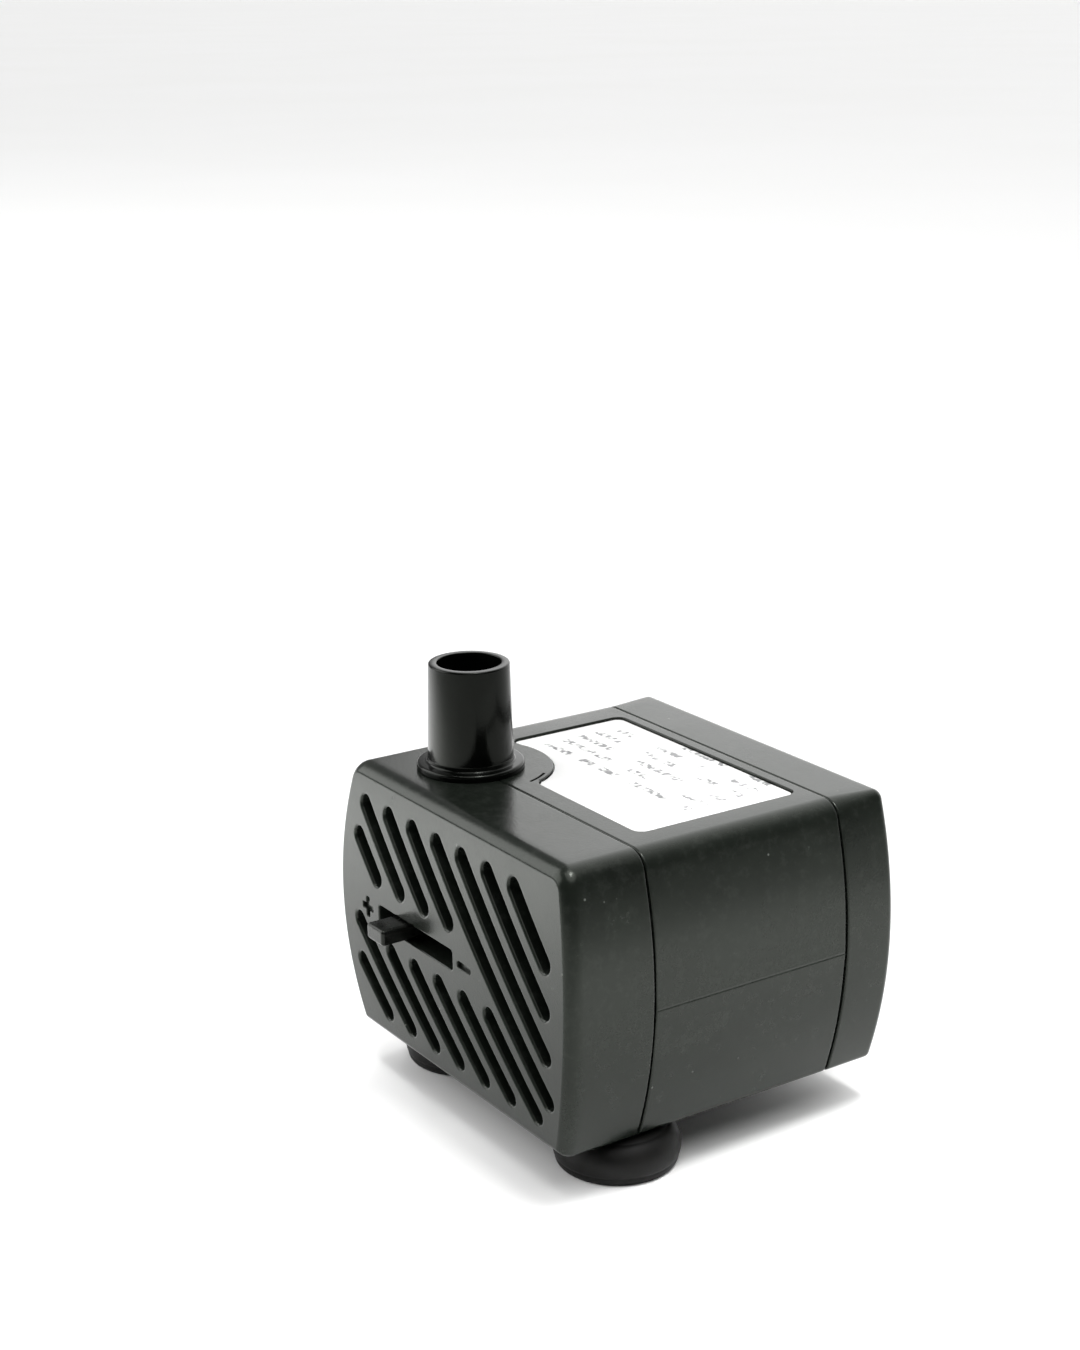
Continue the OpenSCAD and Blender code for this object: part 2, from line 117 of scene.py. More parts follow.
# Inside: back of the grille, bulkhead, and the well that the magnet turns in.
face_inner = front_y + 1.65
bulkhead_y = -5.2
bulkhead_t = 2.0
well_r = 6.6
well_end = 12.4
rotor_x, rotor_z = -3.5, 20.0

spout_x, spout_y = (spout_low[:2] + spout_high[:2]) / 2
spout_r = 4.4
spout_bore = 3.5
flange_r = 5.86
flange_t = 0.8
socket_r = 4.6

# Grille, in x and height above the base: the slots follow the lines x + z = slot_start + k * slot_pitch.
# The plain band round the window lies between band_low and band_high. Slots clear it right of band_right,
# and start at the left margin where the band would end left of band_left.
slot_w = 1.9
slot_edge = 0.32
slot_step = 1.6
slot_pitch = 4.93
slot_start = 4.82
slot_shortest = 1.5
slot_left, slot_right = -18.2, 18.4
slot_low, slot_high = 3.6, 26.9
band_low, band_high = 11.45, 19.2
band_left, band_right = -15.0, 6.0
window_x = (-13.9, 1.3)
window_h = 2.2
window_corner, window_edge = 0.35, 0.18
window_z = 15.2
mark_edge = 0.12
mark_depth = 0.4

cup_places = {
    "right": (14.9, front_y + 10.2),
    "left": (-14.9, front_y + 10.2),
    "rear": (0.0, front_y + 29.25),
}

# Label: width, length, centre, front edge, radius of the cut round the nozzle; then its recess.
label_w, label_l = 31.7, 20.15
label_x = 0.15
label_y = front_seam + 3.0
label_cut = 9.1
label_t = 0.15
label_sunk = 0.4
label_gap = 0.15
label_edge = 0.12
arc_sunk = 0.2
arc_edge = 0.06

gland_x, gland_z = (gland_low[[0, 2]] + gland_high[[0, 2]]) / 2
gland_neck = 2.95


# ---------------------------------------------------------------- meshes from arrays


class Skin:
    """Collects patches of vertices and faces, in millimetres, and sews them into one closed mesh."""

    def __init__(self):
        self.points = []
        self.faces = []
        self.count = 0

    def add(self, points, faces):
        """Adds a patch: an (n, 3) array of points and an (m, 3 or 4) array of corner numbers."""
        points = np.asarray(points, float).reshape(-1, 3)
        self.points.append(points)
        self.faces.extend((np.asarray(faces) + self.count).tolist())
        self.count += len(points)

    def loft(self, rings, closed=True):
        """Quads between each ring of points and the next; closed joins a ring's last point to its first."""
        rings = np.asarray(rings, float)
        m, n = rings.shape[:2]
        i, j = np.meshgrid(np.arange(m - 1), np.arange(n if closed else n - 1), indexing="ij")
        k = (j + 1) % n
        quads = np.stack([i * n + j, i * n + k, (i + 1) * n + k, (i + 1) * n + j], -1)
        self.add(rings, quads.reshape(-1, 4))

    def fill(self, outer, holes, lift, step=0.0):
        """Triangles over a flat region with holes, each corner then placed in space by lift(points)."""
        self.add(*flat_region(outer, holes, lift, step))

    def disc(self, ring):
        """A flat fan that closes one ring of points."""
        ring = np.asarray(ring, float)
        n = len(ring)
        j = np.arange(n)
        self.add(np.vstack([ring, ring.mean(0)]), np.stack([j, (j + 1) % n, np.full(n, n)], -1))

    def build(self, name, cuts=(), sharp=38):
        """Sews the patches, turns the faces outwards, takes the cuts away and shades the object smooth."""
        mesh = bpy.data.meshes.new(name)
        mesh.from_pydata((np.vstack(self.points) * MM).tolist(), [], self.faces)
        sewing = bmesh.new()
        sewing.from_mesh(mesh)
        bmesh.ops.remove_doubles(sewing, verts=sewing.verts, dist=2e-6)
        bmesh.ops.dissolve_degenerate(sewing, edges=sewing.edges, dist=1e-7)
        bmesh.ops.recalc_face_normals(sewing, faces=sewing.faces)
        sewing.to_mesh(mesh)
        sewing.free()
        piece = bpy.data.objects.new(name, mesh)
        bpy.context.collection.objects.link(piece)
        if cuts:
            piece.data = cut_away(piece, cuts)
        piece.data.shade_smooth()
        piece.data.set_sharp_from_angle(angle=math.radians(sharp))
        return piece


def cut_away(piece, cuts):
    """The piece's mesh with the cutting solids taken out of it."""
    for cut in cuts:
        cutter = piece.modifiers.new(cut.name, "BOOLEAN")
        cutter.object = cut
        cutter.solver = "EXACT"
    seen = piece.evaluated_get(bpy.context.evaluated_depsgraph_get())
    mesh = bpy.data.meshes.new_from_object(seen)
    piece.modifiers.clear()
    for cut in cuts:
        bpy.data.objects.remove(cut)
    return mesh


def inside(points, loop):
    """Even-odd test of points against a closed loop, for all points at once."""
    a = loop[None, :, :]
    b = np.roll(loop, -1, 0)[None, :, :]
    p = points[:, None, :]
    crosses = (a[..., 1] > p[..., 1]) != (b[..., 1] > p[..., 1])
    rise = np.where(crosses, b[..., 1] - a[..., 1], 1.0)
    at = a[..., 0] + (p[..., 1] - a[..., 1]) / rise * (b[..., 0] - a[..., 0])
    return (crosses & (p[..., 0] < at)).sum(1) % 2 == 1


def flat_region(outer, holes, lift, step):
    """Constrained triangulation of a region with holes; step above 0 adds a grid of inner points."""
    loops = [np.asarray(outer, float)] + [np.asarray(h, float) for h in holes]
    edge_points = np.vstack(loops)
    edges = []
    start = 0
    for loop in loops:
        i = np.arange(len(loop))
        edges.append(np.stack([start + i, start + (i + 1) % len(loop)], -1))
        start += len(loop)
    points = edge_points
    if step > 0:
        low, high = loops[0].min(0), loops[0].max(0)
        across = np.arange(low[0] + step / 2, high[0], step)
        x, y = np.meshgrid(across, np.arange(low[1] + step / 2, high[1], step))
        grid = np.stack([x.ravel(), y.ravel()], -1)
        keep = inside(grid, loops[0])
        for hole in loops[1:]:
            keep &= ~inside(grid, hole)
        grid = grid[keep]
        near = ((grid[:, None, :] - edge_points[None, :, :]) ** 2).sum(-1).min(1)
        points = np.vstack([edge_points, grid[near > (0.45 * step) ** 2]])
    made = delaunay_2d_cdt(points.tolist(), np.vstack(edges).tolist(), [], 0, 1e-7)
    flat = np.array([tuple(v) for v in made[0]])
    triangles = np.array(made[2])
    middle = flat[triangles].mean(1)
    keep = inside(middle, loops[0])
    for hole in loops[1:]:
        keep &= ~inside(middle, hole)
    return lift(flat), triangles[keep]


def rounded_loop(corners, radii, grow=0.0, arc=8, step=1.5):
    """Closed outline: a polygon's edges moved out by grow, its corners replaced by tangent arcs.

    A convex corner's radius gains grow and a hollow corner's loses it, so loops of different grow stay
    parallel.
    """
    corners = np.asarray(corners, float)
    radii = np.broadcast_to(np.asarray(radii, float), (len(corners),))
    edge = np.roll(corners, -1, 0) - corners
    length = np.linalg.norm(edge, axis=1)
    along = edge / length[:, None]
    out = np.stack([along[:, 1], -along[:, 0]], -1)
    along_in, out_in = np.roll(along, 1, 0), np.roll(out, 1, 0)
    moved = corners + grow * (out + out_in) / (1 + (out * out_in).sum(1))[:, None]
    turn = np.arctan2(along_in[:, 0] * along[:, 1] - along_in[:, 1] * along[:, 0], (along_in * along).sum(1))
    side = np.sign(turn)
    radius = np.where(radii > 0, np.maximum(radii + side * grow, 0.01), 0.0)
    reach = radius * np.tan(np.abs(turn) / 2)
    steps = np.ceil(length / step).astype(int)
    points = []
    for i in range(len(corners)):
        first = moved[i] - along_in[i] * reach[i]
        if radii[i] > 0:
            centre = first - out_in[i] * radius[i] * side[i]
            angle = np.linspace(0, turn[i], arc + 1)[:, None]
            spoke = first - centre
            across = np.array([-spoke[1], spoke[0]])
            points.append(centre + spoke * np.cos(angle) + across * np.sin(angle))
        else:
            points.append(first[None, :])
        nxt = (i + 1) % len(corners)
        a = moved[i] + along[i] * reach[i]
        b = moved[nxt] - along[i] * reach[nxt]
        t = np.arange(1, steps[i])[:, None] / steps[i]
        points.append(a + (b - a) * t)
    return np.vstack(points)


def rectangle(x1, y1, x2, y2):
    """A rectangle's four corners, anticlockwise."""
    return np.array([[x1, y1], [x2, y1], [x2, y2], [x1, y2]])


def circle(x, y, r, n=64):
    """Points round a circle."""
    t = np.linspace(0, 2 * np.pi, n, endpoint=False)
    return np.stack([x + r * np.cos(t), y + r * np.sin(t)], -1)


def turned(name, profile, centre, axis="Z", n=96, sharp=38):
    """A closed solid of revolution: each (radius, height) point of the profile is carried round the axis."""
    profile = np.asarray(profile, float)
    t = np.linspace(0, 2 * np.pi, n, endpoint=False)
    r, h = profile[:, 0][:, None], profile[:, 1][:, None]
    a, b, c = r * np.cos(t), r * np.sin(t), h + 0 * t
    if axis == "Z":
        rings = np.stack([centre[0] + a, centre[1] + b, centre[2] + c], -1)
    else:
        rings = np.stack([centre[0] + a, centre[1] + c, centre[2] + b], -1)
    skin = Skin()
    closed = r[0, 0] > 1e-6
    skin.loft(np.concatenate([rings, rings[:1]]) if closed else rings)
    return skin.build(name, sharp=sharp)


def soften(points, radii, arc=6):
    """An open (radius, height) profile whose inner corners are replaced by arcs of the given radii."""
    points = np.asarray(points, float)
    made = [points[:1]]
    for i in range(1, len(points) - 1):
        u = points[i] - points[i - 1]
        v = points[i + 1] - points[i]
        room = 0.49 * min(np.linalg.norm(u), np.linalg.norm(v))
        u = u / np.linalg.norm(u)
        v = v / np.linalg.norm(v)
        turn = math.atan2(u[0] * v[1] - u[1] * v[0], float(u @ v))
        if radii[i] <= 0 or abs(turn) < 0.02:
            made.append(points[i][None, :])
            continue
        reach = min(radii[i] * math.tan(abs(turn) / 2), room)
        radius = reach / math.tan(abs(turn) / 2)
        first = points[i] - u * reach
        centre = first + np.array([-u[1], u[0]]) * radius * math.copysign(1, turn)
        angle = np.linspace(0, turn, arc + 1)[:, None]
        spoke = first - centre
        across = np.array([-spoke[1], spoke[0]])
        made.append(centre + spoke * np.cos(angle) + across * np.sin(angle))
    made.append(points[-1:])
    return np.vstack(made)


# ---------------------------------------------------------------- the housing's cross-section


def half_width(z):
    """Half the housing's width at height z above its base: a straight flare plus a parabola.

    With t = z / height it is base_half + top_flare * t + 4 * side_bulge * t * (1 - t).
    """
    t = z / height
    return base_half + top_flare * t + 4 * side_bulge * t * (1 - t)


def side_slope(z):
    """Angle of the side from upright at height z, positive where it leans outwards going up."""
    return np.arctan(top_flare / height + 4 * side_bulge / height * (1 - 2 * z / height))


# How many points the outline has: each lower corner, the side below and above the parting line, the line
# itself, each upper corner, and the flats between their ends. The flat top runs from TOP_FIRST to TOP_LAST.
LOW_COUNT = 9
SIDE_COUNT = 13
LINE_COUNT = 9
HIGH_COUNT = 13
FLAT_COUNT = 24
TOP_FIRST = LOW_COUNT + SIDE_COUNT + LINE_COUNT + SIDE_COUNT + HIGH_COUNT - 1
TOP_LAST = TOP_FIRST + FLAT_COUNT + 1


def section(inset, groove=0.0, corner=top_round):
    """Closed outline (x, z above base) of the housing, inset inside its skin, anticlockwise from the front.

    It runs up the right side, over the top, down the left side and along the base. corner is the radius
    of the two upper corners. groove is the depth of the mould's parting line: a bell-shaped dent along
    each side, between two shallow hollows of the form t * exp(1 - t), where t is the distance from the
    line over trough_reach.
    """
    low_r = max(base_round - inset, 0.2)
    high_r = max(corner - inset, 0.2)
    low, high = inset + low_r, height - inset - high_r
    lean_low, lean_high = side_slope(low), side_slope(high)
    low_x = half_width(low) - (inset + low_r) / np.cos(lean_low)
    high_x = half_width(high) - (inset + high_r) / np.cos(lean_high)
    a = np.linspace(-np.pi / 2, -lean_low, LOW_COUNT)
    b = np.linspace(-lean_high, np.pi / 2, HIGH_COUNT)
    first = low - low_r * np.sin(lean_low)
    last = high - high_r * np.sin(lean_high)
    near = line_z + line_w * np.linspace(-2.4, 2.4, LINE_COUNT)
    below = np.linspace(first, near[0], SIDE_COUNT + 2)[1:-1]
    above = np.linspace(near[-1], last, SIDE_COUNT + 2)[1:-1]
    z = np.concatenate([below, near, above])
    far = np.abs(z - line_z)
    hollow = trough / line_deep * far / trough_reach * np.exp(1 - far / trough_reach)
    dent = groove * (np.exp(-((far / line_w) ** 2)) + hollow)
    right = np.concatenate([
        np.stack([low_x + low_r * np.cos(a), low + low_r * np.sin(a)], -1),
        np.stack([half_width(z) - inset / np.cos(side_slope(z)) - dent, z], -1),
        np.stack([high_x + high_r * np.cos(b), high + high_r * np.sin(b)], -1),
    ])
    t = np.linspace(1, -1, FLAT_COUNT + 2)[1:-1]
    top = np.stack([high_x * t, np.full(FLAT_COUNT, height - inset)], -1)
    bottom = np.stack([-low_x * t, np.full(FLAT_COUNT, inset)], -1)
    left = right[::-1] * [-1, 1]
    return np.concatenate([right, top, left, bottom])


# Over the outline's points: seams are tight on the flat top and reach their full gap below its corners.
side_share = np.clip((height - section(0)[:, 1]) / top_round, 0, 1)
seam_gap = seam_gap_top + (seam_gap_side - seam_gap_top) * side_share


def bow(z):
    """How far the grille face stands forward at height z: a parabola that peaks halfway up."""
    t = z / height
    return 4 * front_bulge * t * (1 - t)


def stand(points, y):
    """Flat (x, z above base) points stood upright at y, which is a number or an array over them."""
    return np.stack([points[:, 0], np.zeros(len(points)) + y, points[:, 1] + base_z], -1)


def lay(points, z):
    """Flat (x, y) points laid at height z."""
    return np.column_stack([points, np.full(len(points), z)])


def ring_at(inset, y, groove=0.0, corner=top_round):
    """The cross-section stood at y, which is a number or an array over its points."""
    return stand(section(inset, groove, corner), y)


def quarter(radius, n=6):
    """A quarter round as (inset, depth) pairs, radius * (1 - sin, 1 - cos), from the face to the wall."""
    t = np.linspace(0, np.pi / 2, n + 1)
    return list(zip(radius * (1 - np.sin(t)), radius * (1 - np.cos(t))))


def seam_lip(seam, way, inner, groove=0.0):
    """Rings from the hollow at y = inner, over the wall's end at a seam, out to the skin.

    way is 1 for the piece behind the seam and -1 for the piece in front of it. The outer part of the wall,
    seam_depth thick, stands back by seam_gap and is rounded, so that two pieces leave a fine groove.
    """
    edge = seam + way * seam_gap
    rings = [
        ring_at(wall, inner),
        ring_at(wall, seam + way * 0.15),
        ring_at(wall, seam),
        ring_at(wall - seam_hold, seam),
        ring_at(seam_depth, seam),
        ring_at(seam_depth, edge),
        ring_at(seam_depth - 0.05, edge),
    ]
    for inset, depth in quarter(seam_round):
        rings.append(ring_at(inset, edge + way * depth, groove * (1 - inset / seam_round)))
    rings.append(ring_at(0, edge + way * (seam_round + seam_hold), groove))
    return rings


# ---------------------------------------------------------------- front cover


def slot_ends():
    """Line and ends (c, first x, last x) of each slot on x + z = c, stopping at the plain band.

    A slot that meets the band is split by it. The part above is left out where it would be a stub, and the
    part below starts at the left margin where it clears the band's left end.
    """
    ends = []
    for k in range(-3, 8):
        c = slot_start + slot_pitch * k
        first = max(slot_left, c - slot_high)
        last = min(slot_right, c - slot_low)
        if c - window_z > band_right:
            ends.append((c, first, last))
            continue
        if c - band_high > slot_left + slot_shortest:
            ends.append((c, first, c - band_high))
        ends.append((c, slot_left if c - band_low < band_left else c - band_low, last))
    return ends


def slot_loop(c, x1, x2, grow):
    """Outline of one slot, falling to the right at 45 degrees: two half circles joined by straight sides."""
    along = np.array([1, -1]) / math.sqrt(2)
    across = np.array([1, 1]) / math.sqrt(2)
    a = np.array([x1, c - x1])
    b = np.array([x2, c - x2])
    r = slot_w / 2 + grow
    t = np.linspace(0, np.pi, 19)[:, None]
    s = np.linspace(0, 1, int(np.linalg.norm(b - a) / slot_step) + 2)[1:-1, None]
    return np.vstack([
        a + (b - a) * s - across * r,
        b + r * (along * np.sin(t) - across * np.cos(t)),
        b + (a - b) * s + across * r,
        a + r * (across * np.cos(t) - along * np.sin(t)),
    ])


def plus_corners(x, z, arm, thick):
    """The twelve corners of a plus sign."""
    a, t = arm / 2, thick / 2
    plan = [(-t, -a), (t, -a), (t, -t), (a, -t), (a, t), (t, t),
            (t, a), (-t, a), (-t, t), (-a, t), (-a, -t), (-t, -t)]
    return np.array(plan) + [x, z]


def opening_rings(loop_at, surface, edge, floor):
    """Rings down an opening's wall: a supporting ring, a quarter round of radius edge, then the floor.

    loop_at(grow) is the opening's outline; surface and floor give y over an outline's points.
    """
    rings = []
    for grow, depth in [(edge + hold, 0.0)] + quarter(edge):
        loop = loop_at(grow)
        rings.append(stand(loop, surface(loop) + depth))
    loop = loop_at(0.0)
    rings.append(stand(loop, floor(loop)))
    return rings


def end_shell(name, mirror, bowed, through, blind, inner_y, cuts=()):
    """A housing end: rounded face with openings, walls back to the seam, and its hollow inside.

    Worked out with the face at -Y; mirror turns it round for the back cover. The skin is the cross-section
    swept along Y, pulled in along an arc that meets the face at rim_angle and along a small quarter round
    at the seam. bowed scales the face's bulge, through and blind hold (outline, edge radius) of the holes
    and of the sunk marks, and inner_y is the flat end of the hollow.
    """
    start = -back_y if mirror else front_y
    seam = -rear_seam if mirror else front_seam
    corner = back_round if mirror else top_round
    end = back_end_round if mirror else end_round
    edge_inset = end * (1 - math.sin(rim_angle))
    edge_depth = end * math.cos(rim_angle)
    face_inset = edge_inset + 0.15
    inner_round = 0.4

    def surface(points):
        """y of the face over outline points."""
        return start - bowed * bow(points[:, 1])

    def mark_floor(points):
        """y of a sunk mark's floor."""
        return surface(points) + mark_depth

    def face_ring(inset, depth):
        """The cross-section, inset, at a depth behind the bulged face."""
        outline = section(inset, 0, corner)
        return stand(outline, surface(outline) + depth)

    rings = [face_ring(face_inset, 0)]
    for t in np.linspace(rim_angle, np.pi / 2, 9):
        rings.append(face_ring(end * (1 - np.sin(t)), end * (math.cos(rim_angle) - np.cos(t))))
    rim_y = surface(section(0, 0, corner)) + edge_depth
    lip_y = seam - seam_gap - seam_round
    for t in (0.08, 0.2, 0.4, 0.6, 0.8):  # along the wall, the upper corners open from corner to top_round
        rings.append(ring_at(0, rim_y + (lip_y - rim_y) * t, 0, corner + (top_round - corner) * t))
    rings += seam_lip(seam, -1, inner_y + 0.5)[::-1]
    for inset, depth in quarter(inner_round, 3)[::-1]:
        rings.append(ring_at(wall + inset, inner_y + depth))
    skin = Skin()
    skin.loft(rings)

    edges = [loop(edge + hold) for loop, edge in through + blind]
    skin.fill(section(face_inset, 0, corner), edges, lambda p: stand(p, surface(p)), step=slot_step)
    holes = [loop(0.0) for loop, _ in through]
    skin.fill(section(wall + inner_round), holes, partial(stand, y=inner_y))
    for loop, edge in through:
        skin.loft(opening_rings(loop, surface, edge, lambda p: inner_y))
    for loop, edge in blind:
        skin.loft(opening_rings(loop, surface, edge, mark_floor))
        skin.fill(loop(0.0), [], lambda p: stand(p, mark_floor(p)))
    if mirror:
        skin.points = [p * [1, -1, 1] for p in skin.points]
    return skin.build(name, cuts)


def pillar(name, x, y, r, z1, z2):
    """A plain upright cylinder used to cut a hole."""
    return turned(name, [(0, z1), (r, z1), (r, z2), (0, z2)], (x, y, 0), n=96)


def socket_notch():
    """Cutter for the half circle that the front cover and the middle shell each leave for the nozzle."""
    return pillar("notch", spout_x, front_seam, socket_r, top_z - 4, top_z + 3)


def soft_block(skin, low, high, edge=0.2):
    """A block with rounded edges: its rounded plan, pulled in along quarter rounds at bottom and top."""
    plan = rectangle(low[0], low[1], high[0], high[1])
    steps = [(inset, low[2] + depth) for inset, depth in quarter(edge, 4)]
    steps += [(inset, high[2] - depth) for inset, depth in quarter(edge, 4)[::-1]]
    rings = [lay(rounded_loop(plan, edge * 1.4, -inset, arc=4, step=50), z) for inset, z in steps]
    skin.loft(rings)
    skin.disc(rings[0])
    skin.disc(rings[-1])


def join(name, pieces):
    """One object from several closed ones."""
    with bpy.context.temp_override(active_object=pieces[0], selected_editable_objects=pieces):
        bpy.ops.object.join()
    pieces[0].name = name
    return pieces[0]


def make_front_cover():
    """The strainer cover with its slots, window, marks, guide rails and snap tongues."""
    window = rectangle(window_x[0], window_z - window_h / 2, window_x[1], window_z + window_h / 2)
    through = [(partial(slot_loop, *ends), slot_edge) for ends in slot_ends()]
    through.append((partial(rounded_loop, window, window_corner, arc=6, step=slot_step), window_edge))
    plus = plus_corners(x=-16.3, z=15.3, arm=2.3, thick=0.7)
    minus = rectangle(2.3, 14.85, 4.9, 15.6)
    blind = [(partial(rounded_loop, plus, 0.16, arc=4, step=slot_step), mark_edge),
             (partial(rounded_loop, minus, 0.3, arc=6, step=slot_step), mark_edge)]
    cuts = [socket_notch()]
    for side in ("right", "left"):
        x, y = cup_places[side]
        cuts.append(pillar("cup_notch_" + side, x, y, 3.9, base_z - 1, base_z + 3))
    shell = end_shell("front_cover_shell", False, 1.0, through, blind, face_inner, cuts)

    # Blocks as (left, right, front, back, bottom, top): the slider's upper and lower rail, the hooked lip of
    # each, the upper and lower snap tongue, and the root of each.
    roof, floor = top_z - wall, base_z + wall
    blocks = [
        (-20.3, 17.0, face_inner - 0.3, face_inner + 1.9, base_z + 22.6, base_z + 24.2),
        (-20.3, 17.0, face_inner - 0.3, face_inner + 1.9, base_z + 6.2, base_z + 7.8),
        (-20.3, 17.0, face_inner + 1.6, face_inner + 2.2, base_z + 21.2, base_z + 24.2),
        (-20.3, 17.0, face_inner + 1.6, face_inner + 2.2, base_z + 6.2, base_z + 9.2),
        (-1.0, 14.0, front_seam - 3.8, front_seam + 2.5, roof - 1.35, roof - 0.15),
        (3.5, 10.5, front_seam - 3.8, front_seam + 2.5, floor + 0.15, floor + 1.35),
        (-1.5, 14.5, front_seam - 4.0, front_seam - 0.3, roof - 1.2, roof + 0.4),
        (3.2, 10.8, front_seam - 4.0, front_seam - 0.3, floor - 0.4, floor + 1.2),
    ]
    skin = Skin()
    for left, right, front, back, bottom, top in blocks:
        soft_block(skin, (left, front, bottom), (right, back, top))
    return join("front_cover_shell", [shell, skin.build("cover_rails")])


# ---------------------------------------------------------------- motor body


def label_loop(grow):
    """Outline (x, y) of the label: a rectangle whose front left corner is cut by a ring round the nozzle."""
    x1, x2 = label_x - label_w / 2, label_x + label_w / 2
    y1, y2 = label_y, label_y + label_l
    xa = spout_x + math.sqrt(label_cut**2 - (y1 - spout_y) ** 2)
    ya = spout_y + math.sqrt(label_cut**2 - (x1 - spout_x) ** 2)
    first = math.atan2(ya - spout_y, x1 - spout_x)
    last = math.atan2(y1 - spout_y, xa - spout_x)
    t = np.linspace(first, last, 26)[1:-1]
    bend = np.stack([spout_x + label_cut * np.cos(t), spout_y + label_cut * np.sin(t)], -1)
    corners = np.vstack([[xa, y1], [x2, y1], [x2, y2], [x1, y2], [x1, ya], bend])
    radii = np.array([1.3, 1.0, 1.0, 1.0, 0.9] + [0.0] * len(bend))
    return rounded_loop(corners, radii, grow, arc=7, step=3.0)


def arc_mark(grow):
    """Outline (x, y) of the short moulded arc beside the nozzle's ring: a strip between two radii."""
    t = np.radians(np.linspace(17, 38, 10))
    middle = 8.35
    half = 0.13
    spoke = np.stack([np.cos(t), np.sin(t)], -1)
    strip = np.vstack([spoke * (middle + half), spoke[::-1] * (middle - half)])
    return rounded_loop(strip + [spout_x, spout_y], 0.0, grow, step=5.0)


def sink(skin, loop_at, edge, depth):
    """A recess in the housing's flat top: a supporting ring, a quarter round, the wall and the floor."""
    steps = [(edge + hold, 0.0)] + quarter(edge, 4) + [(0.0, depth)]
    skin.loft([lay(loop_at(grow), top_z - drop) for grow, drop in steps])
    skin.fill(loop_at(0.0), [], partial(lay, z=top_z - depth))


def make_motor_body():
    """The middle shell: skin between the seams, label recess, bulkhead with the magnet well, cup sockets."""
    skin = Skin()
    bulkhead_back = bulkhead_y + bulkhead_t
    front_lip = seam_lip(front_seam, 1, bulkhead_y - 0.5, line_deep)
    rear_lip = seam_lip(rear_seam, -1, bulkhead_back, line_deep)[::-1]
    skin.loft(front_lip)
    skin.loft(rear_lip)

    # The skin between the lips: down the left side, along the base and up the right side.
    ys = np.linspace(front_lip[-1][:, 1], rear_lip[0][:, 1], 9)
    below_top = np.r_[TOP_LAST:len(section(0)), 0:TOP_FIRST + 1]
    skin.loft([ring_at(0, y, line_deep)[below_top] for y in ys], closed=False)

    # The flat top, with holes for the label's recess and the arc.
    x_top = section(0)[TOP_FIRST:TOP_LAST + 1, 0]
    y_top = ys[:, TOP_FIRST]
    front_edge = np.column_stack([x_top, np.full(len(x_top), y_top[0])])
    rear_edge = np.column_stack([x_top[::-1], np.full(len(x_top), y_top[-1])])
    right_edge = np.column_stack([np.full(len(ys) - 2, x_top[0]), y_top[1:-1][::-1]])
    left_edge = np.column_stack([np.full(len(ys) - 2, x_top[-1]), y_top[1:-1]])
    rim = np.vstack([front_edge, left_edge, rear_edge, right_edge])

    def recess(grow):
        """The label's outline with its clearance."""
        return label_loop(grow + label_gap)

    skin.fill(rim, [recess(label_edge + hold), arc_mark(arc_edge + hold)], partial(lay, z=top_z))
    sink(skin, recess, label_edge, label_sunk)
    sink(skin, arc_mark, arc_edge, arc_sunk)

    # The bulkhead, its soft inner corner, and the well that runs back from it and is closed at its end.
    well = circle(rotor_x, rotor_z - base_z, well_r)
    sleeve = circle(rotor_x, rotor_z - base_z, well_r + 1)
    skin.loft([ring_at(wall, bulkhead_y - 0.5), ring_at(wall + 0.12, bulkhead_y - 0.15),
               ring_at(wall + 0.5, bulkhead_y)])
    skin.fill(section(wall + 0.5), [well], partial(stand, y=bulkhead_y))
    skin.fill(section(wall), [sleeve], partial(stand, y=bulkhead_back))
    for loop, y1, y2 in ((well, bulkhead_y, well_end), (sleeve, bulkhead_back, well_end + 1.2)):
        skin.loft([stand(loop, y1), stand(loop, y2)])
        skin.disc(stand(loop, y2))
    shell = skin.build("motor_body_shell", [socket_notch()])

    # The collar that holds the chamber cover, and a boss for each suction cup, as (radius, height).
    collar_profile = soften([(12.3, 0.4), (12.3, -2.4), (13.4, -2.4), (13.4, 0.4)], [0, 0.2, 0.2, 0])
    collar = turned("collar", collar_profile, (rotor_x, bulkhead_y, rotor_z), axis="Y")
    boss_profile = [(0, 0), (3.45, 0), (3.6, 0.15), (3.6, 3.6), (0, 3.6)]
    bosses = []
    for place, (x, y) in cup_places.items():
        bosses.append(turned("boss_" + place, boss_profile, (x, y, base_z)))
    return join("motor_body_shell", [shell, collar] + bosses)


def make_rear_cover():
    """The back shell, closed at the back but for the gland's hole."""
    def hole(grow):
        """The gland's hole in the back face."""
        return circle(gland_x, gland_z - base_z, gland_neck + grow)

    return end_shell("rear_cover_shell", True, 0.0, [(hole, 0.2)], [], -(back_y - wall))


# ---------------------------------------------------------------- small parts


def make_nozzle():
    """Hose spigot turned about its axis: stem, thin flange, slightly tapered tube, rounded rim and bore."""
    low, top = spout_low[2], spout_high[2]
    flange_top = top_z + flange_t
    stem_r = 4.2
    foot_r = 4.78
    tube_r = 4.66
    points = [(spout_bore, low), (stem_r, low), (stem_r, top_z), (flange_r, top_z), (flange_r, flange_top),
              (foot_r, flange_top), (tube_r, flange_top + 0.5), (spout_r, top), (spout_bore, top)]
    radii = [0, 0.25, 0, 0.18, 0.3, 0.25, 0.8, 0.2, 0]
    outside = soften(points, radii, arc=7)
    lip = soften([(spout_bore + 0.2, top), (spout_bore, top), (spout_bore, top - 1)], [0, 0.15, 0], arc=5)
    bore = np.array([(spout_bore, z) for z in np.linspace(top - 1.2, low + 0.5, 6)])
    return turned("nozzle_spigot", np.vstack([outside[:-1], lip[1:], bore]), (spout_x, spout_y, 0), n=128)


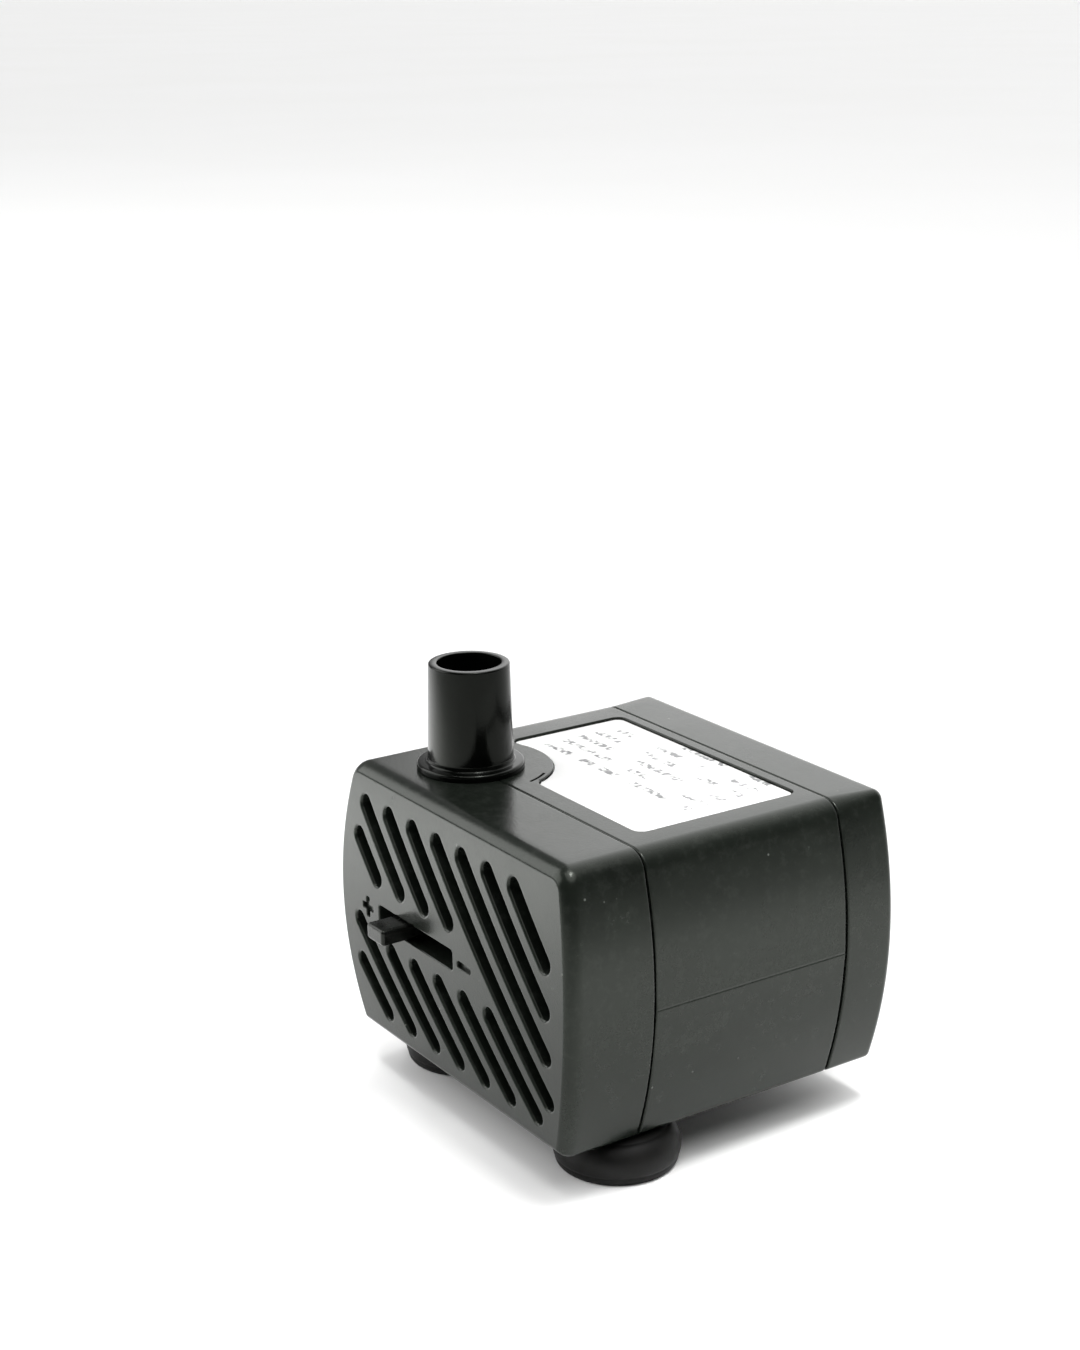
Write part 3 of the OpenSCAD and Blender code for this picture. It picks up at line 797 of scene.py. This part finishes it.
def cup_profile():
    """A suction cup's (radius, height) profile, from its stem down to the floor and back up inside.

    Stem, a rounded shoulder with two faint rings, a rim that tucks in, and the hollow underneath.
    """
    stem = [(0, base_z + 2.6), (1.9, base_z + 2.6), (2.1, base_z + 2.4), (2.1, base_z), (3.2, base_z - 0.02)]
    shoulder = [(3.8, 4.62), (4.3, 4.52), (4.42, 4.46), (4.55, 4.47), (5.0, 4.31), (5.3, 4.13), (5.38, 4.06),
                (5.5, 4.04), (5.8, 3.83), (6.1, 3.55), (6.36, 3.2), (6.56, 2.8), (6.69, 2.4), (6.74, 2.0)]
    rim = [(6.72, 1.6), (6.64, 1.2), (6.56, 0.95), (6.48, 0.86), (6.45, 0.78), (6.47, 0.7), (6.46, 0.5),
           (6.38, 0.28), (6.26, 0.1), (6.12, 0.01), (6.0, 0.0), (5.7, 0.0), (5.6, 0.12)]
    hollow = [(5.35, 0.75), (4.9, 1.4), (4.2, 2.05), (3.2, 2.6), (2.0, 2.9), (1.0, 3.0), (0, 3.02)]
    return np.array(stem + shoulder + rim + hollow)


def make_cups():
    """The three suction cups."""
    cups = {}
    for place, (x, y) in cup_places.items():
        cups[place] = turned("cup_" + place, cup_profile(), (x, y, 0), n=112, sharp=50)
    return cups


def make_slider():
    """Gate plate with its round opening, and the knob as a block with rounded edges."""
    gate_y = face_inner + 0.2
    gate_t = 1.2
    bevel = [(-0.15, 0), (-0.04, 0.04), (0, 0.15),
             (0, gate_t - 0.15), (-0.04, gate_t - 0.04), (-0.15, gate_t)]
    plate = partial(rounded_loop, rectangle(-17.2, 8.2, 6.4, 22.2), 0.8, arc=6, step=60)
    eye_x, eye_r = -0.7, 5.5

    def eye(grow):
        """The plate's round opening, which shrinks as the plate grows."""
        return circle(eye_x, rotor_z - base_z, eye_r - grow)

    gate = Skin()
    for loop in (plate, eye):
        gate.loft([stand(loop(grow), gate_y + depth) for grow, depth in bevel])
    for y in (gate_y, gate_y + gate_t):
        gate.fill(plate(-0.15), [eye(-0.15)], partial(stand, y=y))

    middle, half_w, half_h = -9.3, 1.7, 0.9
    edge = 0.35
    face = rectangle(middle - half_w, window_z - half_h, middle + half_w, window_z + half_h)
    knob_loop = partial(rounded_loop, face, 0.4, arc=5, step=60)
    out = knob_low[1]
    rings = [stand(knob_loop(-edge - hold), out)]
    for inset, depth in quarter(edge):
        rings.append(stand(knob_loop(-inset), out + depth))
    rings.append(stand(knob_loop(0), gate_y + 0.4))
    knob = Skin()
    knob.loft(rings)
    knob.disc(rings[0])
    knob.disc(rings[-1])
    return join("flow_knob", [knob.build("flow_knob"), gate.build("gate_plate")])


def make_label():
    """The label as a thin sheet with a soft upper edge, lying in its recess."""
    low, high = top_z - label_sunk, top_z - label_sunk + label_t
    steps = [(0, low), (0, high - 0.04), (-0.01, high - 0.01), (-0.04, high)]
    skin = Skin()
    skin.loft([lay(label_loop(grow), z) for grow, z in steps])
    for grow, z in (steps[0], steps[-1]):
        skin.fill(label_loop(grow), [], partial(lay, z=z))
    return skin.build("label_sheet")


def make_gland():
    """Rubber gland in the back cover: inner flange, neck, and a ribbed cone with the cord's bore."""
    inner, end = gland_low[1] - back_y, gland_high[1] - back_y
    bore, flange, neck = 1.6, 4.2, gland_neck
    points = [(bore, inner), (flange, inner), (flange, -wall), (neck, -wall), (neck, 0), (4.0, 0),
              (3.85, 0.9), (3.45, 1.1), (3.45, 1.5), (3.7, 1.7), (3.55, 2.4), (3.2, 2.6), (3.2, 2.95),
              (3.35, 3.15), (3.05, end), (bore, end)]
    radii = [0, 0.3, 0.2, 0, 0, 0.3, 0.2, 0.1, 0.1, 0.2, 0.2, 0.1, 0.1, 0.2, 0.35, 0]
    return turned("gland_sleeve", soften(points, radii), (gland_x, back_y, gland_z), axis="Y", n=80)


# ---------------------------------------------------------------- materials


def linear(hex_colour):
    """An sRGB hex colour as linear RGBA."""
    s = [int(hex_colour[i:i + 2], 16) / 255 for i in (1, 3, 5)]
    return [c / 12.92 if c <= 0.04045 else ((c + 0.055) / 1.055) ** 2.4 for c in s] + [1.0]


def add(tree, kind, inputs=None, **settings):
    """Adds a node, sets its properties, then fills its inputs with values or links from other sockets."""
    node = tree.nodes.new(kind)
    for name, value in settings.items():
        setattr(node, name, value)
    for name, value in (inputs or {}).items():
        if isinstance(value, bpy.types.NodeSocket):
            tree.links.new(value, node.inputs[name])
        else:
            node.inputs[name].default_value = value
    return node


def new_material(name):
    """An empty node material: its tree, its shader and the object coordinates in millimetres."""
    material = bpy.data.materials.new(name)
    material.use_nodes = True
    tree = material.node_tree
    tree.nodes.clear()
    shader = add(tree, "ShaderNodeBsdfPrincipled")
    add(tree, "ShaderNodeOutputMaterial", {"Surface": shader.outputs[0]})
    place = add(tree, "ShaderNodeTexCoord").outputs["Object"]
    scaled = add(tree, "ShaderNodeVectorMath", {0: place, 1: (1000, 1000, 1000)}, operation="MULTIPLY")
    return material, tree, shader, scaled.outputs[0]


def moulded_plastic(name, colour, light, roughness, spread, grain, ior=1.5, shine=0.5, dust=0.0):
    """Injection-moulded plastic: fine spark-eroded grain, slow gloss drift and stains, rubs and pale specks.

    Colours run from colour to light and gloss from roughness - spread to roughness + spread. grain is the
    height of the texture in millimetres; dust is how strongly the specks and rubs show.
    """
    material, tree, shader, place = new_material(name)
    shader.inputs["IOR"].default_value = ior
    shader.inputs["Specular IOR Level"].default_value = shine
    shader.inputs["Specular Tint"].default_value = linear("#f8fff4")
    # A scale is 1 / size in mm: drift is 9 mm across, stains 1.4 mm and the grain 0.3 mm. The grain of the
    # real mould is nearer 0.05 mm, too fine to show, so it is drawn as coarse as it needs to.
    drift = add(tree, "ShaderNodeTexNoise",
                {"Vector": place, "Scale": 0.11, "Detail": 5.0, "Roughness": 0.62})
    stain = add(tree, "ShaderNodeTexNoise", {"Vector": place, "Scale": 0.7, "Detail": 6.0, "Roughness": 0.7})
    fine = add(tree, "ShaderNodeTexNoise", {"Vector": place, "Scale": 3.2, "Detail": 3.0, "Roughness": 0.6})
    shade = add(tree, "ShaderNodeMapRange", {"Value": drift.outputs[0], "From Min": 0.32, "From Max": 0.68})
    base = add(tree, "ShaderNodeMix", {0: shade.outputs[0], 6: linear(colour), 7: linear(light)},
               data_type="RGBA")
    # Dust: cells of 1.7 mm, of which the few picked by their random colour hold a dot some 0.2 mm across.
    speck = add(tree, "ShaderNodeTexVoronoi", {"Vector": place, "Scale": 0.6, "Randomness": 1.0})
    dot = add(tree, "ShaderNodeMapRange", {"Value": speck.outputs["Distance"], "From Min": 0.04,
                                           "From Max": 0.1, "To Min": 1.0, "To Max": 0.0})
    pick = add(tree, "ShaderNodeSeparateColor", {"Color": speck.outputs["Color"]})
    rare = add(tree, "ShaderNodeMath", {0: pick.outputs[0], 1: 0.93}, operation="GREATER_THAN")
    specks = add(tree, "ShaderNodeMath", {0: dot.outputs[0], 1: rare.outputs[0]}, operation="MULTIPLY")
    patch = add(tree, "ShaderNodeMapRange", {"Value": stain.outputs[0], "From Min": 0.5, "From Max": 0.8,
                                             "To Max": 0.1})
    marks = add(tree, "ShaderNodeMath", {0: specks.outputs[0], 1: patch.outputs[0]}, operation="MAXIMUM")
    shown = add(tree, "ShaderNodeMath", {0: marks.outputs[0], 1: dust}, operation="MULTIPLY")
    worn = add(tree, "ShaderNodeMix", {0: shown.outputs[0], 6: base.outputs[2], 7: linear("#8f938d")},
               data_type="RGBA")
    tree.links.new(worn.outputs[2], shader.inputs["Base Color"])
    gloss = add(tree, "ShaderNodeMath", {0: drift.outputs[0], 1: stain.outputs[0]}, operation="ADD")
    rough = add(tree, "ShaderNodeMapRange", {"Value": gloss.outputs[0], "From Min": 0.7, "From Max": 1.3,
                                             "To Min": roughness - spread, "To Max": roughness + spread})
    tree.links.new(rough.outputs[0], shader.inputs["Roughness"])
    bump = add(tree, "ShaderNodeBump", {"Strength": 1.0, "Distance": grain * MM, "Height": fine.outputs[0]})
    tree.links.new(bump.outputs[0], shader.inputs["Normal"])
    return material


def soft_rubber(name, colour, light, roughness, shine=0.5):
    """Soft moulded rubber or PVC: dark, a little oily in the highlights, with dust-pale bloom in patches."""
    material, tree, shader, place = new_material(name)
    shader.inputs["Specular IOR Level"].default_value = shine
    # Bloom in patches of 2 mm, over a skin texture drawn 0.3 mm wide where the real one is too fine to show.
    cloud = add(tree, "ShaderNodeTexNoise", {"Vector": place, "Scale": 0.5, "Detail": 4.0, "Roughness": 0.6})
    fine = add(tree, "ShaderNodeTexNoise", {"Vector": place, "Scale": 3.0, "Detail": 3.0})
    bloom = add(tree, "ShaderNodeMapRange", {"Value": cloud.outputs[0], "From Min": 0.42, "From Max": 0.75})
    base = add(tree, "ShaderNodeMix", {0: bloom.outputs[0], 6: linear(colour), 7: linear(light)},
               data_type="RGBA")
    tree.links.new(base.outputs[2], shader.inputs["Base Color"])
    rough = add(tree, "ShaderNodeMapRange", {"Value": cloud.outputs[0], "From Min": 0.3, "From Max": 0.7,
                                             "To Min": roughness - 0.06, "To Max": roughness + 0.12})
    tree.links.new(rough.outputs[0], shader.inputs["Roughness"])
    bump = add(tree, "ShaderNodeBump", {"Strength": 1.0, "Distance": 0.014 * MM, "Height": fine.outputs[0]})
    tree.links.new(bump.outputs[0], shader.inputs["Normal"])
    return material


def printed_label():
    """White polyester film label: smooth, faintly mottled, with rows of short grey dashes for small print.

    Rows run along X, 2.3 mm apart, on the back half; one noise cuts each row into words of about 4 mm and
    another breaks those into strokes of under 1 mm. The dashes form no letters.
    """
    material, tree, shader, place = new_material("label_polyester_film")
    split = add(tree, "ShaderNodeSeparateXYZ", {"Vector": place})
    cloud = add(tree, "ShaderNodeTexNoise", {"Vector": place, "Scale": 0.12, "Detail": 2.0})
    paper = add(tree, "ShaderNodeMix", {0: cloud.outputs[0], 6: linear("#dededd"), 7: linear("#e9e9e8")},
                data_type="RGBA")
    rows = add(tree, "ShaderNodeMath", {0: split.outputs["Y"], 1: 2.3}, operation="DIVIDE")
    row = add(tree, "ShaderNodeMath", {0: rows.outputs[0]}, operation="FLOOR")
    within = add(tree, "ShaderNodeMath", {0: rows.outputs[0]}, operation="FRACT")
    inked = add(tree, "ShaderNodeMath", {0: within.outputs[0], 1: 0.42}, operation="LESS_THAN")
    words = add(tree, "ShaderNodeCombineXYZ", {"X": split.outputs["X"], "Y": row.outputs[0]})
    spread = add(tree, "ShaderNodeVectorMath", {0: words.outputs[0], 1: (0.22, 7.7, 1.0)},
                 operation="MULTIPLY")
    gaps = add(tree, "ShaderNodeTexNoise", {"Vector": spread.outputs[0], "Scale": 1.0, "Detail": 1.0})
    word = add(tree, "ShaderNodeMapRange", {"Value": gaps.outputs[0], "From Min": 0.46, "From Max": 0.5})
    strokes = add(tree, "ShaderNodeTexNoise", {"Vector": place, "Scale": 1.5, "Detail": 1.0})
    stroke = add(tree, "ShaderNodeMapRange", {"Value": strokes.outputs[0], "From Min": 0.42, "From Max": 0.6})
    dash = add(tree, "ShaderNodeMath", {0: word.outputs[0], 1: stroke.outputs[0]}, operation="MULTIPLY")
    # The print keeps to the label behind y = -0.2 and within 13.2 mm of its middle line.
    back = add(tree, "ShaderNodeMath", {0: split.outputs["Y"], 1: -0.2}, operation="GREATER_THAN")
    side = add(tree, "ShaderNodeMath", {0: split.outputs["X"]}, operation="ABSOLUTE")
    edge = add(tree, "ShaderNodeMath", {0: side.outputs[0], 1: 13.2}, operation="LESS_THAN")
    ink = add(tree, "ShaderNodeMath", {0: inked.outputs[0], 1: dash.outputs[0]}, operation="MULTIPLY")
    area = add(tree, "ShaderNodeMath", {0: back.outputs[0], 1: edge.outputs[0]}, operation="MULTIPLY")
    kept = add(tree, "ShaderNodeMath", {0: ink.outputs[0], 1: area.outputs[0]}, operation="MULTIPLY")
    faint = add(tree, "ShaderNodeMath", {0: kept.outputs[0], 1: 0.8}, operation="MULTIPLY")
    base = add(tree, "ShaderNodeMix", {0: faint.outputs[0], 6: paper.outputs[2], 7: linear("#34363a")},
               data_type="RGBA")
    tree.links.new(base.outputs[2], shader.inputs["Base Color"])
    shader.inputs["Roughness"].default_value = 0.45
    fine = add(tree, "ShaderNodeTexNoise", {"Vector": place, "Scale": 1.2, "Detail": 3.0})
    bump = add(tree, "ShaderNodeBump", {"Strength": 1.0, "Distance": 0.006 * MM, "Height": fine.outputs[0]})
    tree.links.new(bump.outputs[0], shader.inputs["Normal"])
    return material


def metal(name, colour, roughness, stretch, scale, grain):
    """Bare or enamelled metal with a directional finish: noise drawn out along one axis.

    stretch slows the noise along the finish, scale is 1 / width of its lines in mm, and grain is their
    height in millimetres. The same noise drives colour, gloss and bump.
    """
    material, tree, shader, place = new_material(name)
    shader.inputs["Metallic"].default_value = 1.0
    long_way = add(tree, "ShaderNodeVectorMath", {0: place, 1: stretch}, operation="MULTIPLY")
    lines = add(tree, "ShaderNodeTexNoise", {"Vector": long_way.outputs[0], "Scale": scale, "Detail": 3.0})
    dark = [c * 0.7 for c in linear(colour)[:3]] + [1.0]
    base = add(tree, "ShaderNodeMix", {0: lines.outputs[0], 6: dark, 7: linear(colour)}, data_type="RGBA")
    tree.links.new(base.outputs[2], shader.inputs["Base Color"])
    rough = add(tree, "ShaderNodeMapRange", {"Value": lines.outputs[0], "To Min": roughness - 0.08,
                                             "To Max": roughness + 0.12})
    tree.links.new(rough.outputs[0], shader.inputs["Roughness"])
    bump = add(tree, "ShaderNodeBump", {"Strength": 1.0, "Distance": grain * MM, "Height": lines.outputs[0]})
    tree.links.new(bump.outputs[0], shader.inputs["Normal"])
    return material


def dress(piece, material):
    """Gives a piece one material."""
    piece.data.materials.clear()
    piece.data.materials.append(material)


# ABS from a spark-eroded mould: near-black green-grey satin shells, with faint stains and a few specks.
HOUSING = moulded_plastic("housing_moulded_abs", "#131613", "#191d19",
                          roughness=0.23, spread=0.05, grain=0.01, shine=0.25, dust=0.4)
# ABS from a smoother mould, with fewer specks than the shells. The knob and its gate are drawn blacker than
# the shells; on the gate seen through the window that blackness is painted shade.
KNOB_WITH_SHADED_GATE = moulded_plastic("knob_abs_gate_painted_shade", "#080908", "#0c0d0c",
                       roughness=0.26, spread=0.05, grain=0.01, shine=0.25, dust=0.2)
# Polypropylene from a polished mould: a black, glossy spigot that mirrors its surroundings.
SPOUT = moulded_plastic("nozzle_polished_pp", "#030403", "#050605",
                        roughness=0.16, spread=0.04, grain=0.005, shine=0.16, dust=0.1)
# ABS with a plain mould finish: a dull dark grey chamber cover, seen when the strainer is off.
CHAMBER = moulded_plastic("chamber_moulded_abs", "#1d1f1e", "#232524",
                          roughness=0.4, spread=0.04, grain=0.02)
# Moulded acetal: an ivory impeller with a waxy sheen.
WHEEL = moulded_plastic("impeller_acetal", "#d8d7cf", "#e2e1da",
                        roughness=0.35, spread=0.04, grain=0.01)
# Moulded nylon: a cream bobbin, duller than acetal.
BOBBIN = moulded_plastic("bobbin_nylon", "#cfcab8", "#dad5c4",
                         roughness=0.45, spread=0.05, grain=0.01)
# Ground and polished alumina: a warm white shaft and washers with a sharp, bright gloss.
CERAMIC = moulded_plastic("shaft_alumina_ceramic", "#e9e6dc", "#f1eee6",
                          roughness=0.18, spread=0.03, grain=0.003, ior=1.76)
# Cast epoxy: black and glassy, with the uneven gloss of a surface that set in the open.
RESIN = moulded_plastic("potting_epoxy_resin", "#131314", "#1a1a1b",
                        roughness=0.25, spread=0.06, grain=0.02)
# Polyester film tape: smooth translucent yellow, drawn opaque over the copper.
TAPE = moulded_plastic("coil_polyester_tape", "#c9ae35", "#d4bb46",
                       roughness=0.3, spread=0.05, grain=0.008)
# Soft PVC, compression moulded: black cups with a soft sheen and a brownish bloom.
CUP = soft_rubber("cup_black_pvc", "#070706", "#0e0d0b", roughness=0.5, shine=0.25)
# Moulded nitrile rubber: matt black seal, bushes and gland.
SEAL = soft_rubber("seal_nitrile_rubber", "#0b0b0b", "#151515", roughness=0.55)
# Sintered and ground ferrite: a dark grey, stony ceramic, rough with a dull glint.
MAGNET = moulded_plastic("magnet_sintered_ferrite", "#232324", "#2e2e30",
                         roughness=0.5, spread=0.08, grain=0.02, ior=2.0)
# Stamped silicon steel sheets of 0.5 mm, stacked along Y: grey metal with fine lines where they meet.
CORE = metal("core_silicon_steel", "#8d9094",
             roughness=0.4, stretch=(0.2, 2.0, 0.2), scale=1.0, grain=0.02)
# Copper wire of 0.3 mm in clear enamel, wound on the bobbin: orange-brown metal ridged by its turns.
COPPER = metal("coil_enamelled_copper", "#b8652f",
               roughness=0.3, stretch=(0.1, 0.1, 3.0), scale=1.2, grain=0.06)
# Drawn and tinned brass: pale warm grey pins with faint upright lines.
TIN = metal("pin_tinned_brass", "#c9c6ba",
            roughness=0.3, stretch=(1, 1, 0.2), scale=2.0, grain=0.004)
# Printed polyester film: a bright, smooth white that the dark shells set off.
PAPER = printed_label()


# ---------------------------------------------------------------- the object


pieces = {
    "front_cover": (make_front_cover(), "front_cover", HOUSING, "housing_plastic"),
    "motor_body": (make_motor_body(), "housing", HOUSING, "housing_plastic"),
    "rear_cover": (make_rear_cover(), "housing", HOUSING, "housing_plastic"),
    "outlet_nozzle": (make_nozzle(), "nozzle", SPOUT, "nozzle_plastic"),
    "flow_slider": (make_slider(), "flow_slider", KNOB_WITH_SHADED_GATE, "slider_plastic"),
    "label_plate": (make_label(), "housing", PAPER, "label_film"),
    "cord_gland": (make_gland(), "housing", SEAL, "seal_rubber"),
}
for place, cup in make_cups().items():
    pieces["suction_cup_" + place] = (cup, "housing", CUP, "cup_rubber")
for node, (piece, body, material, slot) in pieces.items():
    dress(piece, material)
    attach(piece, body)
    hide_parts(node)

kept = {
    "chamber_cover": CHAMBER, "chamber_seal": SEAL, "impeller": WHEEL, "rotor_magnet": MAGNET,
    "rotor_shaft": CERAMIC, "front_bush": SEAL, "rear_bush": SEAL, "thrust_washers": CERAMIC,
    "stator_core": CORE, "coil_bobbin": BOBBIN, "coil_winding": COPPER, "coil_tape": TAPE,
    "terminal_pins": TIN, "potting": RESIN,
}
for node, material in kept.items():
    dress(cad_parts[node], material)


# ---------------------------------------------------------------- studio


def studio_floor():
    """Pale floor: matt white board with a very faint cloud, wide enough to reach the horizon."""
    material, tree, shader, place = new_material("floor_white_board")
    cloud = add(tree, "ShaderNodeTexNoise", {"Vector": place, "Scale": 0.004, "Detail": 2.0})
    base = add(tree, "ShaderNodeMix", {0: cloud.outputs[0], 6: linear("#f6f6f5"), 7: linear("#fafafa")},
               data_type="RGBA")
    tree.links.new(base.outputs[2], shader.inputs["Base Color"])
    shader.inputs["Roughness"].default_value = 0.9
    shader.inputs["Specular IOR Level"].default_value = 0.1
    mesh = bpy.data.meshes.new("studio_floor")
    half = 20.0
    corners = [(-half, -half, 0), (half, -half, 0), (half, half, 0), (-half, half, 0)]
    mesh.from_pydata(corners, [], [(0, 1, 2, 3)])
    floor = bpy.data.objects.new("studio_floor", mesh)
    bpy.context.collection.objects.link(floor)
    dress(floor, material)


def aimed(x, y, z):
    """Turn that makes a light at direction (x, y, z) from its target shine back at it."""
    return Euler((math.atan2(math.hypot(x, y), z), 0, math.atan2(x, -y)))


def softbox(name, place, aim, width, depth, watts):
    """A rectangular soft light at a place, turned to face a point."""
    light = bpy.data.lights.new(name, "AREA")
    light.shape = "RECTANGLE"
    light.size = width
    light.size_y = depth
    light.energy = watts
    lamp = bpy.data.objects.new(name, light)
    lamp.location = place
    lamp.rotation_euler = aimed(*(np.array(place) - np.array(aim)))
    bpy.context.collection.objects.link(lamp)


def pool(name, x, y, watts):
    """A soft-edged lamp straight above (x, y) that brightens a patch of the floor beside the pump."""
    light = bpy.data.lights.new(name, "SPOT")
    light.spot_size = math.radians(38)
    light.spot_blend = 1.0
    light.shadow_soft_size = 0.05
    light.energy = watts
    lamp = bpy.data.objects.new(name, light)
    lamp.location = (x, y, 0.35)
    bpy.context.collection.objects.link(lamp)


def studio_light():
    """Soft studio light: a surround, a broad sun, a softbox and three pools of light on the floor.

    The surround grows from dim at the right to bright at the left and back, and is held down where it
    would mirror in the front face. The pools brighten the floor that the front, nozzle and side mirror.
    """
    world = bpy.data.worlds.new("surround")
    world.use_nodes = True
    tree = world.node_tree
    tree.nodes.clear()
    bright_side = (-0.83, 0.35, 0.0)
    screened_side = (-0.521, -0.854, 0.0)
    towards = add(tree, "ShaderNodeTexCoord").outputs["Generated"]
    lean = add(tree, "ShaderNodeVectorMath", {0: towards, 1: bright_side}, operation="DOT_PRODUCT")
    level = add(tree, "ShaderNodeMapRange",
                {"Value": lean.outputs["Value"], "From Min": -0.3, "From Max": 0.6,
                 "To Min": 0.1, "To Max": 2.2}, interpolation_type="SMOOTHSTEP")
    turn = add(tree, "ShaderNodeVectorMath", {0: towards, 1: screened_side}, operation="DOT_PRODUCT")
    screen = add(tree, "ShaderNodeMapRange",
                 {"Value": turn.outputs["Value"], "From Min": -0.03, "From Max": 0.06,
                  "To Min": 1.0, "To Max": 0.15}, interpolation_type="SMOOTHSTEP")
    shown = add(tree, "ShaderNodeMath", {0: level.outputs[0], 1: screen.outputs[0]}, operation="MULTIPLY")
    surround = add(tree, "ShaderNodeBackground", {"Color": (1, 1, 1, 1), "Strength": shown.outputs[0]})
    add(tree, "ShaderNodeOutputWorld", {"Surface": surround.outputs[0]})
    bpy.context.scene.world = world
    sun = bpy.data.lights.new("broad_overhead", "SUN")
    sun.energy = 1.4
    sun.angle = math.radians(50)
    lamp = bpy.data.objects.new("broad_overhead", sun)
    lamp.rotation_euler = aimed(0.3, 0.0, 0.9)
    bpy.context.collection.objects.link(lamp)
    softbox("front_left", (-0.5, -0.55, 0.45), (-0.12, -0.16, 0), width=0.9, depth=0.7, watts=7.0)
    pool("front_left_pool", x=-0.12, y=-0.105, watts=17.0)
    pool("front_pool", x=-0.03, y=-0.14, watts=5.0)
    pool("right_pool", x=0.09, y=0.03, watts=7.5)


def camera():
    """The camera: position, angles and lens that give the object's true perspective."""
    data = bpy.data.cameras.new("camera")
    data.sensor_width = 36
    data.lens = 62.33
    data.shift_x = -0.02355
    data.shift_y = -0.05743
    data.clip_start = 0.01
    view = bpy.data.objects.new("camera", data)
    view.location = (0.19418, -0.13685, 0.11891)
    view.rotation_euler = Euler([math.radians(a) for a in (75.012, 0.475, 55.686)])
    bpy.context.collection.objects.link(view)
    bpy.context.scene.camera = view


studio_floor()
studio_light()
camera()
bpy.context.scene.view_settings.view_transform = "Standard"
